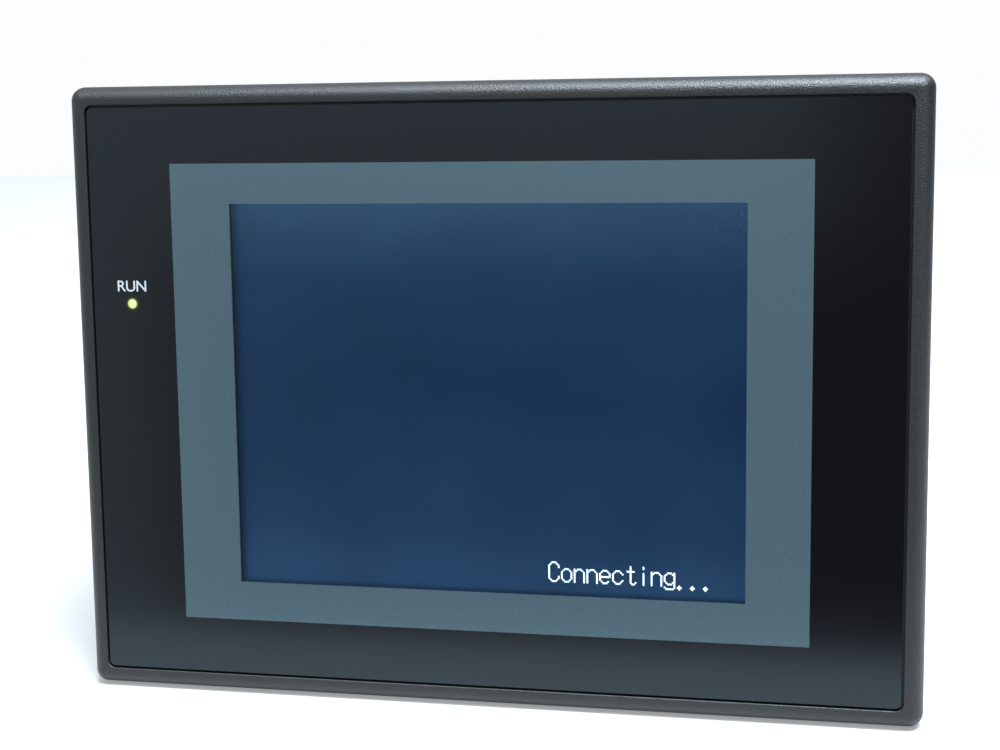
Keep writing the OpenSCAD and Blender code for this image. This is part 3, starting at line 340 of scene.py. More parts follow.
def clear_sheet(name, hex_colour, rough, ior):
    """A thin clear sheet: what is behind it, tinted, under its own satin reflection.

    Only its front sides reflect, as a sheet whose back is wetted to the next layer does."""
    material, tree, shader = start(name)
    tree.nodes.remove(shader)
    through = add(tree, "ShaderNodeBsdfTransparent", values={"Color": linear(hex_colour)})
    coat = spread(tree, noise(tree, 0.55, 2.0), rough - 0.01, rough + 0.01)
    mirror = add(
        tree, "ShaderNodeBsdfAnisotropic", values={"Color": HARD_COAT},
        links={"Roughness": coat},
    )
    share = add(tree, "ShaderNodeFresnel", values={"IOR": ior})
    behind = add(tree, "ShaderNodeNewGeometry").outputs["Backfacing"]
    front = add(tree, "ShaderNodeMath", {"operation": "SUBTRACT"}, {0: 1.0}, {1: behind})
    seen = add(
        tree, "ShaderNodeMath", {"operation": "MULTIPLY"},
        links={0: share.outputs[0], 1: front.outputs[0]},
    )
    both = add(
        tree, "ShaderNodeMixShader",
        links={0: seen.outputs[0], 1: through.outputs[0], 2: mirror.outputs[0]},
    )
    tree.links.new(both.outputs[0], tree.nodes["Material Output"].inputs["Surface"])
    return material


film_black = printed_film("polyester_film_black_print", "09070A")
film_grey = printed_film("polyester_film_grey_print", "3A494F")
film_clear = clear_sheet("polyester_film_clear", "F4F7F8", 0.2, 1.5)
touch_glass = clear_sheet("indium_tin_oxide_glass", "E4ECEE", 0.12, 1.15)

# %% [markdown]
# ### Rubber, foam and wire covers
#
# The gasket is moulded silicone rubber and the dust seal a closed-cell foam: both scatter light
# widely, with a soft mottled grain. Wire covers are smooth PVC.


# %% Rubber and foam
def rubber(name, hex_colour, grain_mm, depth_mm, rough):
    material, tree, shader = start(name)
    colour = linear(hex_colour)
    grain = noise(tree, grain_mm, 4.0, 0.65)
    tone = tint(tree, spread(tree, grain, 0, 1), shade(colour, 0.8), shade(colour, 1.25))
    tree.links.new(tone, shader.inputs["Base Color"])
    shader.inputs["Roughness"].default_value = rough
    shader.inputs["IOR"].default_value = 1.45
    bump(tree, shader, grain, depth_mm)
    return material


gasket_rubber = rubber("silicone_rubber_black", "1B1C1E", 0.5, 0.02, 0.7)
seal_foam = rubber("closed_cell_foam", "202224", 0.3, 0.12, 0.9)
wire_cream = rubber("pvc_cover_cream", "E4DCC8", 1.0, 0.005, 0.42)
wire_red = rubber("pvc_cover_red", "A3241F", 1.0, 0.005, 0.42)

# %% [markdown]
# ### Plated metals
#
# Screws and the chassis plate are zinc-plated steel: a pale grey metal with a faint blotchy
# sheen. Connector shells are nickel, smoother and a little warmer. Metals have no colour of
# their own below the reflection, so roughness tells them apart.


# %% Plated metals
BLOTCH = 1.5  # mm, the width of the spangles in a plating bath's coat
SCRATCH = 0.12  # mm


def plated(name, hex_colour, rough):
    material, tree, shader = start(name)
    colour = linear(hex_colour)
    blotch = noise(tree, BLOTCH, 3.0, 0.6)
    tone = tint(tree, spread(tree, blotch, 0, 1), shade(colour, 0.88), colour)
    tree.links.new(tone, shader.inputs["Base Color"])
    tree.links.new(spread(tree, blotch, rough - 0.07, rough + 0.08), shader.inputs["Roughness"])
    shader.inputs["Metallic"].default_value = 1.0
    bump(tree, shader, noise(tree, SCRATCH, 2.0), 0.002)
    return material


zinc = plated("zinc_plated_steel", "C3C6C8", 0.34)
nickel = plated("nickel_plated_steel", "CBC7BF", 0.22)
tin = plated("tin_plated_steel", "B7BABC", 0.3)
brass = plated("yellow_brass", "C9A75A", 0.3)

# %% [markdown]
# ### Circuit boards and their parts
#
# A board is glass-fibre laminate under a green, glossy solder mask. Copper tracks show through
# as slightly lighter lines. Real tracks are 0.2 mm wide; they are drawn wider, as the joints of
# a brick pattern, which reads as rows of tracks from outside the vents.


# %% Circuit boards
BRICK_UNIT = 12 * MM  # the brick pattern's numbers are shares of this


def circuit_board(name, hex_colour):
    material, tree, shader = start(name)
    colour = linear(hex_colour)
    turned = add(
        tree, "ShaderNodeMapping", values={"Rotation": (math.radians(90), 0, 0)},
        links={"Vector": place_of(tree)},
    )
    values = {
        "Scale": 1 / BRICK_UNIT, "Mortar Size": 0.03, "Brick Width": 0.9, "Row Height": 0.11,
    }
    tracks = add(tree, "ShaderNodeTexBrick", values=values, links={"Vector": turned.outputs[0]})
    tracks.inputs["Color1"].default_value = colour
    tracks.inputs["Color2"].default_value = shade(colour, 0.85)
    tracks.inputs["Mortar"].default_value = shade(colour, 1.9)
    tree.links.new(tracks.outputs["Color"], shader.inputs["Base Color"])
    shader.inputs["Roughness"].default_value = 0.3
    shader.inputs["IOR"].default_value = 1.55
    bump(tree, shader, tracks.outputs["Fac"], 0.03)
    return material


board_green = circuit_board("solder_mask_green", "11482B")
chip_epoxy = moulded_plastic("epoxy_moulding_black", "222326", 0.55, 0.15, 0.006)
amber_film = printed_film("polyimide_amber", "9A5A1C", 0.25)
flat_cable = printed_film("polyester_flat_cable", "B9BBC0", 0.35)
sleeve_blue = printed_film("shrink_sleeve_blue", "1E5C86", 0.24)
sleeve_dark = printed_film("shrink_sleeve_dark", "20242C", 0.24)
label_paper = printed_film("satin_label_white", "C9CBCA", 0.4)


def clear_acrylic(name, hex_colour):
    material, tree, shader = start(name)
    haze = noise(tree, 2.0)
    tree.links.new(spread(tree, haze, 0.03, 0.09), shader.inputs["Roughness"])
    shader.inputs["Base Color"].default_value = linear(hex_colour)
    shader.inputs["Transmission Weight"].default_value = 1.0
    shader.inputs["IOR"].default_value = 1.49
    return material


acrylic = clear_acrylic("cast_acrylic", "F2F6F6")

# %% [markdown]
# ## Front bezel
#
# The bezel is one moulding: a 5 mm flange with a rolled front edge, deeper than it is wide, a
# shallow recess for the film, and a skirt behind it that the rear case closes. It could be
# swept along its outline, but the recess has rounder corners than a sweep would leave. So it is
# built as a toolmaker would: a plate with round corners, its front rim rolled with a bevel,
# then the hollows cut.

# %% Front bezel: the flange and its rolled edge
bezel_low, bezel_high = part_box("front_bezel")
film_low, film_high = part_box("overlay_film")
gasket_low, gasket_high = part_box("panel_gasket")
case_low, case_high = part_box("rear_case")
touch_low, touch_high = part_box("touch_panel")
module_low, module_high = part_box("lcd_bezel")

FLANGE = 5 * MM
EDGE_ROLL = 3 * MM  # how wide the rolled edge is, seen from the front
ROLL_DEPTH = 4 * MM
CORNER = 3.2 * MM
FILM_GAP = 0.6 * MM
RECESS_CORNER = 1.8 * MM
LIP = 0.25 * MM
MOAT = 0.8 * MM  # depth of the groove round the film
TOUCH = 0.01 * MM  # how near counts as the same place
SPARE = 1 * MM  # how far a cutter or a join runs past the face it starts from

face = bezel_low[1]
flange_back = face + FLANGE
floor_of_recess = film_high[1]
bezel_width = bezel_high[0] - bezel_low[0]
bezel_height = bezel_high[2] - bezel_low[2]
recess_width = film_high[0] - film_low[0] + 2 * FILM_GAP
recess_height = film_high[2] - film_low[2] + 2 * FILM_GAP

bezel = plate("bezel", bezel_width, bezel_height, face, flange_back, CORNER, steps=12)
pick_edges(bezel, lambda v: v.y < face + TOUCH)
bpy.ops.mesh.bevel(offset=EDGE_ROLL, segments=14, profile=0.5, clamp_overlap=False)
bpy.ops.mesh.select_all(action="DESELECT")
done()
for v in bezel.data.vertices:
    v.select = v.co.y < face + EDGE_ROLL + TOUCH
bpy.ops.object.mode_set(mode="EDIT")
bpy.ops.transform.resize(value=(1, ROLL_DEPTH / EDGE_ROLL, 1), center_override=(0, face, 0))
done()
print("flange:", size_of(bezel), "mm, edges:", len(bezel.data.edges))

# %% [markdown]
# Behind the flange, a skirt goes through the hole in the control panel. It ends in a thinner
# tongue that the rear case laps over, so the joint between the two hides its own gap. Both are
# plates welded on, and one cut hollows the two at once, which leaves walls of even thickness.

# %% Front bezel: the skirt and the tongue that the rear case laps
WALL = 2.2 * MM
LAP = 1.0 * MM
SKIRT_END = 11 * MM
TONGUE_END = 13.8 * MM
BEYOND = 20 * MM  # behind everything on the bezel
BODY_CORNER = 3 * MM
skirt_width = case_high[0] - case_low[0]
skirt_height = case_high[2] - case_low[2]
inside_width, inside_height = skirt_width - 2 * WALL, skirt_height - 2 * WALL
inside_corner = BODY_CORNER - WALL
weld(bezel, plate(
    "skirt", skirt_width, skirt_height, flange_back - SPARE, SKIRT_END, BODY_CORNER
))
weld(bezel, plate(
    "tongue", inside_width + 2 * LAP, inside_height + 2 * LAP, SKIRT_END - SPARE, TONGUE_END,
    inside_corner + LAP
))
cut(bezel, plate("inside", inside_width, inside_height, flange_back, BEYOND, inside_corner))
print("skirt and tongue:", size_of(bezel), "mm")

# %% [markdown]
# From the front, the touch panel drops into a pocket and looks out over an opening, and the
# display comes up to it from behind. The gasket lies in a groove round the skirt. Each hollow
# could be faces pushed in; a plate to cut with is shorter, and keeps each fit as one number.

# %% Front bezel: the hollows for the touch panel, the display and the gasket
FIT = 0.3 * MM
SEAL = 0.5 * MM
SIGHT = (124 * MM, 95 * MM)
SIGHT_CORNER = 2 * MM
DISPLAY_BOSS = 2.4 * MM
DISPLAY_BOSS_INSET = 3 * MM
DISPLAY_BOSS_HEIGHT = 45 * MM
SMALL_PILOT = 1.05 * MM
DISPLAY_PILOT_DEPTH = 3.4 * MM
GASKET_WIDTH = 3 * MM


def at_corners(x, z):
    """The four places that mirror one place across the middle, left ones first."""
    return [(sx * x, sz * z) for sx in (-1, 1) for sz in (-1, 1)]


cut(bezel, plate(
    "touch_pocket", touch_high[0] - touch_low[0] + 2 * FIT,
    touch_high[2] - touch_low[2] + 2 * FIT, floor_of_recess - SPARE, touch_high[1]
))
cut(bezel, plate("sight", *SIGHT, face - SPARE, flange_back + SPARE, SIGHT_CORNER))
display_pocket = plate(
    "display_pocket", module_high[0] - module_low[0] + 2 * FIT,
    module_high[2] - module_low[2] + 2 * FIT, module_low[1] - SEAL, flange_back + SPARE
)
display_screws = at_corners(module_high[0] - DISPLAY_BOSS_INSET, DISPLAY_BOSS_HEIGHT)
for at in display_screws:
    cut(display_pocket, rod("display_boss", DISPLAY_BOSS, face, module_low[1], at))
cut(bezel, display_pocket)
for at in display_screws:
    pilot_end = module_low[1] - DISPLAY_PILOT_DEPTH
    cut(bezel, rod("display_pilot", SMALL_PILOT, pilot_end, 0, at, sides=24))
gasket_width, gasket_height = (gasket_high[i] - gasket_low[i] for i in (0, 2))
groove = plate(
    "groove", gasket_width, gasket_height, gasket_low[1], flange_back + SPARE,
    BODY_CORNER + GASKET_WIDTH
)
cut(groove, plate(
    "land", gasket_width - 2 * GASKET_WIDTH, gasket_height - 2 * GASKET_WIDTH,
    gasket_low[1] - SPARE, flange_back + 2 * SPARE, BODY_CORNER
))
cut(bezel, groove)
print("hollows cut, faces:", len(bezel.data.polygons))

# %% [markdown]
# Two small openings go right through the front wall. One is the bore that holds the run lamp's
# light pipe. The other is a slot below the display, where the touch panel's flat lead goes back
# to the boards, with some room above it in which the lead bends.

# %% Front bezel: the run lamp's bore, and the slot for the touch panel's lead
LAMP_BORE = 1.56 * MM
TAIL_PLAY = 1 * MM
TAIL_DROP = 2.5 * MM  # from the display's lower edge to the middle of the slot
TAIL_ROOM = 5 * MM
pipe_low, pipe_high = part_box("run_light_pipe")
lamp_at = ((pipe_low[0] + pipe_high[0]) / 2, (pipe_low[2] + pipe_high[2]) / 2)
cut(bezel, rod("lamp_bore", LAMP_BORE, face, flange_back + SPARE, lamp_at))
tail_low, tail_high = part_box("touch_tail")
tail_width = tail_high[0] - tail_low[0] + 2 * TAIL_PLAY
tail_x, tail_z = (tail_low[0] + tail_high[0]) / 2, module_low[2] - TAIL_DROP
cut(bezel, plate(
    "tail_room", tail_width, TAIL_ROOM, floor_of_recess + FIT, touch_high[1],
    at=(tail_x, tail_z + TAIL_ROOM / 2 - TAIL_PLAY)
))
cut(bezel, plate(
    "tail_slot", tail_width, 2 * TAIL_PLAY, floor_of_recess + FIT, flange_back + SPARE,
    at=(tail_x, tail_z)
))
print("lamp bore at", [round(v / MM, 1) for v in lamp_at], "mm")

# %% [markdown]
# Screws need something to bite in. Bosses near the corners take the rear case's screws, and
# posts beside them carry the chassis plate. Each gets its blind hole before it is welded on, so
# the hole is cut in a small piece.

# %% Front bezel: bosses and posts
BOSS, BOSS_INSET, CASE_PILOT = 4 * MM, 5.7 * MM, 1.25 * MM
POST, POST_INSET, POST_HEIGHT = 3.2 * MM, 8.3 * MM, 36 * MM
CASE_PILOT_END, POST_PILOT_END = 3 * MM, 2.5 * MM
CHASSIS = 10.5 * MM  # where the posts end and the chassis plate lies
bosses = at_corners(skirt_width / 2 - BOSS_INSET, skirt_height / 2 - BOSS_INSET)
posts = at_corners(skirt_width / 2 - POST_INSET, POST_HEIGHT)
for boss_at, post_at in zip(bosses, posts):
    boss = rod("boss", BOSS, flange_back - SPARE, bezel_high[1], boss_at)
    cut(boss, rod("pilot", CASE_PILOT, CASE_PILOT_END, BEYOND, boss_at))
    weld(bezel, boss)
    post = rod("post", POST, flange_back - SPARE, CHASSIS, post_at)
    cut(post, rod("pilot", SMALL_PILOT, POST_PILOT_END, BEYOND, post_at))
    weld(bezel, post)
print("bosses and posts:", len(bosses) + len(posts))

# %% [markdown]
# The recess comes last, so that its rim is one clean loop. Its floor falls away in a narrow
# groove all round the film, and the gap there reads as a dark line. The rim's edge gets a small
# round, which catches the light as a moulded edge does.

# %% Front bezel: the recess, its groove and its lip
OVERLAP = 0.1 * MM
cut(bezel, plate(
    "recess", recess_width, recess_height, face - SPARE, floor_of_recess, RECESS_CORNER,
    steps=10
))
moat = plate(
    "moat", recess_width, recess_height, floor_of_recess - OVERLAP, floor_of_recess + MOAT,
    RECESS_CORNER, steps=10
)
cut(moat, plate(
    "island", recess_width - 2 * FILM_GAP, recess_height - 2 * FILM_GAP,
    floor_of_recess - SPARE, floor_of_recess + SPARE, RECESS_CORNER - FILM_GAP, steps=10
))
cut(bezel, moat)
count = pick_edges(
    bezel,
    lambda v: abs(v.y - face) < TOUCH
    and abs(v.x) < recess_width / 2 + 2 * TOUCH
    and abs(v.z) < recess_height / 2 + 2 * TOUCH,
)
bpy.ops.mesh.bevel(offset=LIP, segments=4, profile=0.5, clamp_overlap=False)
done()
only(bezel)
bpy.ops.object.shade_smooth_by_angle(angle=math.radians(30))
bezel.data.materials.append(housing)
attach(bezel, "terminal")
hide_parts("front_bezel")
print("bezel:", size_of(bezel), "mm, lip edges:", count)

# %% [markdown]
# ## Overlay film
#
# One sheet with three printed regions. The regions could be an image mask; here the sheet is
# bisected along their straight edges, and each face takes the material of its region. That
# keeps every edge perfectly sharp at any distance.

# %% Overlay film
BAND = (72.8 * MM, 53.3 * MM)  # half the width and half the height
WINDOW = (58.75 * MM, 44.15 * MM)
film = plate(
    "film", film_high[0] - film_low[0], film_high[2] - film_low[2], film_low[1], film_high[1],
    RECESS_CORNER - FILM_GAP, steps=10
)
for (half_x, half_z) in (BAND, WINDOW):
    for place, normal in (((half_x, 0, 0), (1, 0, 0)), ((0, 0, half_z), (0, 0, 1))):
        for side in (-1, 1):
            edit(film, "VERT")
            bpy.ops.mesh.select_all(action="SELECT")
            point = [side * p for p in place]
            bpy.ops.mesh.bisect(plane_co=point, plane_no=normal)
            done()
for material in (film_black, film_grey, film_clear):
    film.data.materials.append(material)
for face_of_film in film.data.polygons:
    x, z = abs(face_of_film.center.x), abs(face_of_film.center.z)
    inside = [x < half_x and z < half_z for half_x, half_z in (BAND, WINDOW)]
    face_of_film.material_index = sum(inside)
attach(film, "terminal")
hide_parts("overlay_film")
print("film:", size_of(film), "mm, faces:", len(film.data.polygons))

# %% [markdown]
# ## Touch panel
#
# Under the film lies the touch panel: a glass plate with a conductive sheet on it, held at a
# hair's distance by dots too small to see. The plate's edges are ground, so they get a bevel,
# and it stands just clear of the film, so that light finds one surface at a time.

# %% Touch panel
HAIR = 0.02 * MM
GROUND_EDGE = 0.15 * MM
touch = plate(
    "touch_plate", touch_high[0] - touch_low[0], touch_high[2] - touch_low[2],
    touch_low[1] + HAIR, touch_high[1] - HAIR, 0.5 * MM, steps=4
)
soften(touch, GROUND_EDGE)
touch.data.materials.append(touch_glass)
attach(touch, "terminal")
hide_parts("touch_panel")
print("touch panel:", size_of(touch), "mm")

# %% [markdown]
# ## Lettering on the film
#
# The run lamp's name is white ink on the film. It starts as a text object with Blender's own
# sans-serif, is turned into a mesh, and is fitted to its printed size.


# %% Lettering
def lettering(name, words, left, right, bottom, top, front, thickness):
    """Flat letters that fill the given box on a plane facing -Y."""
    bpy.ops.object.select_all(action="DESELECT")
    bpy.ops.object.text_add(rotation=(math.radians(90), 0, 0))
    piece = bpy.context.object
    piece.name = name
    piece.data.body = words
    piece.data.offset = 0.006  # a little bolder
    piece.data.space_character = 0.94  # and closer
    piece.data.extrude = 0.01  # any depth, since the fit below sets it
    bpy.ops.object.convert(target="MESH")
    bpy.ops.object.transform_apply(location=True, rotation=True, scale=True)
    corners = [v.co for v in piece.data.vertices]
    low = [min(c[i] for c in corners) for i in range(3)]
    high = [max(c[i] for c in corners) for i in range(3)]
    want_low, want_high = (left, front, bottom), (right, front + thickness, top)
    for v in piece.data.vertices:
        for i in range(3):
            share = (v.co[i] - low[i]) / (high[i] - low[i])
            v.co[i] = want_low[i] + share * (want_high[i] - want_low[i])
    return piece


INK = 0.01 * MM
white_ink = printed_film("screen_ink_white", "A9AEB2", 0.4)
run_word = lettering(
    "run_word", "RUN", left=-86.7 * MM, right=-79.64 * MM, bottom=23.92 * MM, top=26.46 * MM,
    front=film_low[1] - INK, thickness=INK
)
run_word.data.materials.append(white_ink)
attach(run_word, "terminal")
print("word:", size_of(run_word), "mm")

# %% [markdown]
# ## Run lamp
#
# Behind a small unprinted spot in the film sits a light pipe with an LED. Seen from outside, it
# is a pale yellow-green disc, brightest in the middle, whose light also soaks a little way into
# the film around it. A thin disc carries that: its emission falls off with the radius.

# %% Run lamp
GLOW = 1.9 * MM
lamp = rod("lamp_window", GLOW, film_low[1] - INK, film_low[1], lamp_at, sides=40)

lit_spot, tree, shader = start("lit_film_spot")
centred = add(
    tree, "ShaderNodeMapping",
    values={"Location": (-lamp_at[0], -film_low[1], -lamp_at[1])},
    links={"Vector": place_of(tree)},
)
radius = add(tree, "ShaderNodeVectorMath", {"operation": "LENGTH"}, links={0: centred.outputs[0]})
glow = add(tree, "ShaderNodeValToRGB", links={0: add(
    tree, "ShaderNodeMath", {"operation": "DIVIDE"}, {1: GLOW}, {0: radius.outputs["Value"]}
).outputs[0]})
ramp = glow.color_ramp
ramp.elements[0].position, ramp.elements[0].color = 0.0, linear("F2FFC0")
ramp.elements[1].position, ramp.elements[1].color = 1.0, linear("000000")
for position, colour in ((0.46, "ECFFB0"), (0.58, "9CC050"), (0.66, "2C3A12"), (0.8, "0A1004")):
    ramp.elements.new(position).color = linear(colour)
shader.inputs["Base Color"].default_value = linear("0C0D0F")
shader.inputs["Roughness"].default_value = 0.27
shader.inputs["Emission Strength"].default_value = 1.0
tree.links.new(glow.outputs[0], shader.inputs["Emission Color"])
lamp.data.materials.append(lit_spot)
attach(lamp, "terminal")
print("lamp window:", size_of(lamp), "mm")

# %% [markdown]
# ## Display
#
# The display is a blue-mode liquid crystal: dark blue where its dots are off and white where
# they are on, lit from a tube along its top edge. Its blue is painted lighter towards the top
# and bottom edges: partly the tube's light, and partly a painted reflection of the pale room
# in the film. Its dots are 0.367 mm apart, and 320 of them fill its width. Outside the active
# area it stays darker.

# %% Display
DOT = 0.367 * MM
ACTIVE = (58.6 * MM, 44.2 * MM)  # half the width and half the height
BLUE_END = 46 * MM  # where the blue's change from bottom to top starts and ends
cell_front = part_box("lcd_cell")[0][1]
lit_cell, tree, shader = start("blue_liquid_crystal_lit")
place = place_of(tree)
parts = add(tree, "ShaderNodeSeparateXYZ", links={0: place})
height = add(
    tree, "ShaderNodeMapRange", values={1: -BLUE_END, 2: BLUE_END, 3: 0.0, 4: 1.0},
    links={0: parts.outputs["Z"]},
)
# The ramp is painted lighter near the bottom and the top: a painted reflection of the room in the
# film, and near the top also the tube's light.
blue_and_painted_reflection = add(tree, "ShaderNodeValToRGB", links={0: height.outputs[0]})
ramp = blue_and_painted_reflection.color_ramp
ramp.elements[0].position, ramp.elements[0].color = 0.0, linear("33547D")
ramp.elements[1].position, ramp.elements[1].color = 1.0, linear("365A80")
for position, colour in ((0.15, "26466C"), (0.5, "1C3A60"), (0.8, "1E3F66")):
    ramp.elements.new(position).color = linear(colour)
cloud = tint(tree, spread(tree, noise(tree, 26.0), 0, 1), (0.9, 0.9, 0.9, 1), (1.1, 1.1, 1.1, 1))
blue = add(tree, "ShaderNodeMix", {"data_type": "RGBA", "blend_type": "MULTIPLY"}, {0: 1.0})
tree.links.new(blue_and_painted_reflection.outputs[0], blue.inputs[6])
tree.links.new(cloud, blue.inputs[7])


def edge_fade(axis, half):
    """1 inside the active area, falling in the millimetre outside it."""
    away = add(tree, "ShaderNodeMath", {"operation": "ABSOLUTE"}, links={0: parts.outputs[axis]})
    values = {1: half - 0.3 * MM, 2: half + 0.9 * MM, 3: 1.0, 4: 0.45}
    return add(tree, "ShaderNodeMapRange", values=values, links={0: away.outputs[0]}).outputs[0]


faded = add(
    tree, "ShaderNodeMath", {"operation": "MULTIPLY"},
    links={0: edge_fade("X", ACTIVE[0]), 1: edge_fade("Z", ACTIVE[1])},
)
tree.links.new(blue.outputs[2], shader.inputs["Emission Color"])
tree.links.new(faded.outputs[0], shader.inputs["Emission Strength"])
shader.inputs["Base Color"].default_value = linear("05080E")
shader.inputs["Roughness"].default_value = 0.35
print("dot pitch:", round(DOT / MM, 3), "mm")

# %% [markdown]
# ## Message on the display
#
# The display shows a waiting message in a font whose cells are 8 dots wide. Text from a font
# file would be too smooth, so each letter is drawn in dots, as the display's own memory holds
# it. A grid with one face for each dot covers the line, the dark dots' faces are deleted, and
# the rest get a thickness.

# %% Message
LETTERS = {
    "C": ["..###..", ".#...#.", "#.....#", "#.....#", "#......", "#......", "#......",
          "#......", "#......", "#.....#", "#.....#", ".#...#.", "..###.."],
    "o": ["", "", "", "", "..###..", ".#...#.", "#.....#", "#.....#", "#.....#", "#.....#",
          "#.....#", ".#...#.", "..###.."],
    "n": ["", "", "", "", "#.###..", "##...#.", "#.....#", "#.....#", "#.....#", "#.....#",
          "#.....#", "#.....#", "#.....#"],
    "e": ["", "", "", "", "..###..", ".#...#.", "#.....#", "#.....#", "#######", "#......",
          "#......", ".#...#.", "..###.."],
    "c": ["", "", "", "", "..###..", ".#...#.", "#.....#", "#......", "#......", "#......",
          "#.....#", ".#...#.", "..###.."],
    "t": ["", "...#...", "...#...", "...#...", ".#####.", "...#...", "...#...", "...#...",
          "...#...", "...#...", "...#...", "...#..#", "....##."],
    "i": ["", "...#...", "...#...", "", "", "...#...", "...#...", "...#...", "...#...",
          "...#...", "...#...", "...#...", "...#..."],
    "g": ["", "", "", "", "..###.#", ".#...##", "#.....#", "#.....#", "#.....#", "#.....#",
          ".#...##", "..###.#", "......#", "#.....#", ".#####."],
    ".": ["", "", "", "", "", "", "", "", "", "", "", "", ".#.", "###", ".#."],
}
MESSAGE = "Connecting..."
COLUMNS, ROWS = 8, 15  # dots in a letter's cell
left, top = 13.7 * MM, -37.45 * MM  # of the first letter's cell
message_width = COLUMNS * len(MESSAGE) * DOT
bpy.ops.object.select_all(action="DESELECT")
bpy.ops.mesh.primitive_grid_add(
    x_subdivisions=COLUMNS * len(MESSAGE), y_subdivisions=ROWS, size=1,
    location=(left + message_width / 2, cell_front - HAIR, top - ROWS * DOT / 2),
    rotation=(math.radians(90), 0, 0),
)
message = bpy.context.object
message.name = "message"
message.scale = (message_width, ROWS * DOT, 1)
bpy.ops.object.transform_apply(location=True, rotation=True, scale=True)


def is_lit(point):
    """True if the dot at this place belongs to a letter."""
    column, row = int((point.x - left) / DOT), int((top - point.z) / DOT)
    rows, across = LETTERS[MESSAGE[column // COLUMNS]], column % COLUMNS
    return row < len(rows) and rows[row][across : across + 1] == "#"


edit(message)
done()
for dot in message.data.polygons:
    dot.select = not is_lit(dot.center)
bpy.ops.object.mode_set(mode="EDIT")
bpy.ops.mesh.delete(type="FACE")
bpy.ops.mesh.select_all(action="SELECT")
bpy.ops.mesh.extrude_region_move(TRANSFORM_OT_translate={"value": (0, INK, 0)})
bpy.ops.mesh.select_all(action="SELECT")
bpy.ops.mesh.normals_make_consistent(inside=False)
done()
lit_dot, tree, shader = start("liquid_crystal_dot_white")
flicker = tint(tree, spread(tree, noise(tree, 0.8), 0, 1), linear("E6F0FF"), linear("FFFFFF"))
tree.links.new(flicker, shader.inputs["Emission Color"])
shader.inputs["Emission Strength"].default_value = 3.0
shader.inputs["Base Color"].default_value = linear("202428")
message.data.materials.append(lit_dot)
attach(message, "terminal")
print("message:", size_of(message), "mm,", len(message.data.polygons), "faces")

# %% [markdown]
# ## Housings and small hardware with real edges
#
# The CAD solids have mathematically sharp edges, and nothing moulded or stamped does: a sharp
# edge never catches the light. So each piece that shows is copied, its loose triangles are
# merged back into flat faces, and its edges are rounded by what the real process leaves. The
# list gives each piece that radius in millimetres, and its finish.


# %% Rounded copies
MERGE = 0.002 * MM
FLAT = math.radians(0.8)  # triangles that turn less than this are one face


def rounded_copy(node, width, material):
    """A copy of a CAD node with its faces merged and its edges rounded."""
    source = nodes[node]
    piece = bpy.data.objects.new(node + "_finished", source.data.copy())
    bpy.context.scene.collection.objects.link(piece)
    piece.data.materials.clear()
    edit(piece, "VERT")
    bpy.ops.mesh.select_all(action="SELECT")
    bpy.ops.mesh.remove_doubles(threshold=MERGE)
    bpy.ops.mesh.dissolve_limited(angle_limit=FLAT)
    done()
    soften(piece, width)
    piece.data.materials.append(material)
    bodies = [name for name, group in frame["record"]["behaviour"]["bodies"].items()
              if node in group]
    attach(piece, bodies[0])
    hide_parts(node)
    return piece


SLIDER_EDGE = 0.15  # mm
EDGES = {
    "rear_case": (0.3, housing), "battery_cover": (0.25, housing),
    "expansion_cover": (0.25, housing), "eject_button": (0.2, connector_black),
    "panel_gasket": (0.5, gasket_rubber), "terminal_block": (0.2, connector_black),
    "port_shells": (0.1, tin), "port_inserts": (0.1, connector_black),
    "jack_posts": (0.15, nickel), "usb_port": (0.12, nickel), "ethernet_port": (0.12, nickel),
    "case_screws": (0.12, zinc), "terminal_screws": (0.12, zinc),
    "terminal_clamps": (0.15, brass), "card_header": (0.12, connector_black),
    "dip_body": (0.12, switch_red), "reset_button": (0.15, switch_red),
    "expansion_connector": (0.15, connector_black), "rear_label": (0.05, label_paper),
    "battery": (0.3, sleeve_blue),
}
for node, (width, material) in EDGES.items():
    piece = rounded_copy(node, width * MM, material)
    print(node, "faces:", len(piece.data.polygons))
for node in nodes:
    if node.startswith("dip_slider_"):
        rounded_copy(node, SLIDER_EDGE * MM, switch_white)

# %% [markdown]
# ## Finishes of the parts that stay as CAD made them
#
# Sheet metal, boards and inner parts already have the right shape. They get their materials.

# %% Finishes
FINISHES = {
    "touch_tail": amber_film, "dust_seal": seal_foam,
    "run_light_pipe": acrylic, "run_led": acrylic, "lcd_bezel": black_coat, "lcd_cell": lit_cell,
    "light_guide": acrylic, "reflector_sheet": tray_white, "backlight_lamp": tray_white,
    "lcd_tray": tray_white, "lcd_driver_board": board_green, "lcd_cable": flat_cable,
    "lamp_lead": wire_cream, "lcd_screws": zinc, "chassis_plate": zinc,
    "chassis_screws": zinc, "inverter_board": board_green, "inverter_transformer": chip_epoxy,
    "main_board": board_green, "cpu_chip": chip_epoxy, "memory_chips": chip_epoxy,
    "board_spacers": brass, "board_screws": zinc, "port_board": board_green,
    "stack_connector": connector_black, "power_module": chip_epoxy, "capacitors": sleeve_dark,
    "eject_lever": zinc, "ejector_plate": zinc, "reset_switch": connector_black,
    "battery_lead": wire_red,
}
for node, material in FINISHES.items():
    mesh = nodes[node].data
    mesh.materials.clear()
    mesh.materials.append(material)
# The battery's lead ends in a cream plug, on its lowest few millimetres
PLUG_LEN = 6.3 * MM
lead = nodes["battery_lead"].data
lead.materials.append(wire_cream)
plug_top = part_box("battery_lead")[0][1] + PLUG_LEN
for face_of_lead in lead.polygons:
    face_of_lead.material_index = int(face_of_lead.center.y < plug_top)
print(len(FINISHES), "CAD parts finished,", len(EDGES), "rounded")

# %% [markdown]
# ## Floor and light
#
# On a table the terminal leans back a little, on the bezel's lower edge and on the two rear
# corners of its body. The object stays upright here, so the floor takes the lean instead: a
# sheet of white acrylic through those edges, lit a little from below as a product table is,
# which keeps shadows pale. Light comes from a large soft source overhead and in front, and
# from the pale surroundings.

# %% Floor


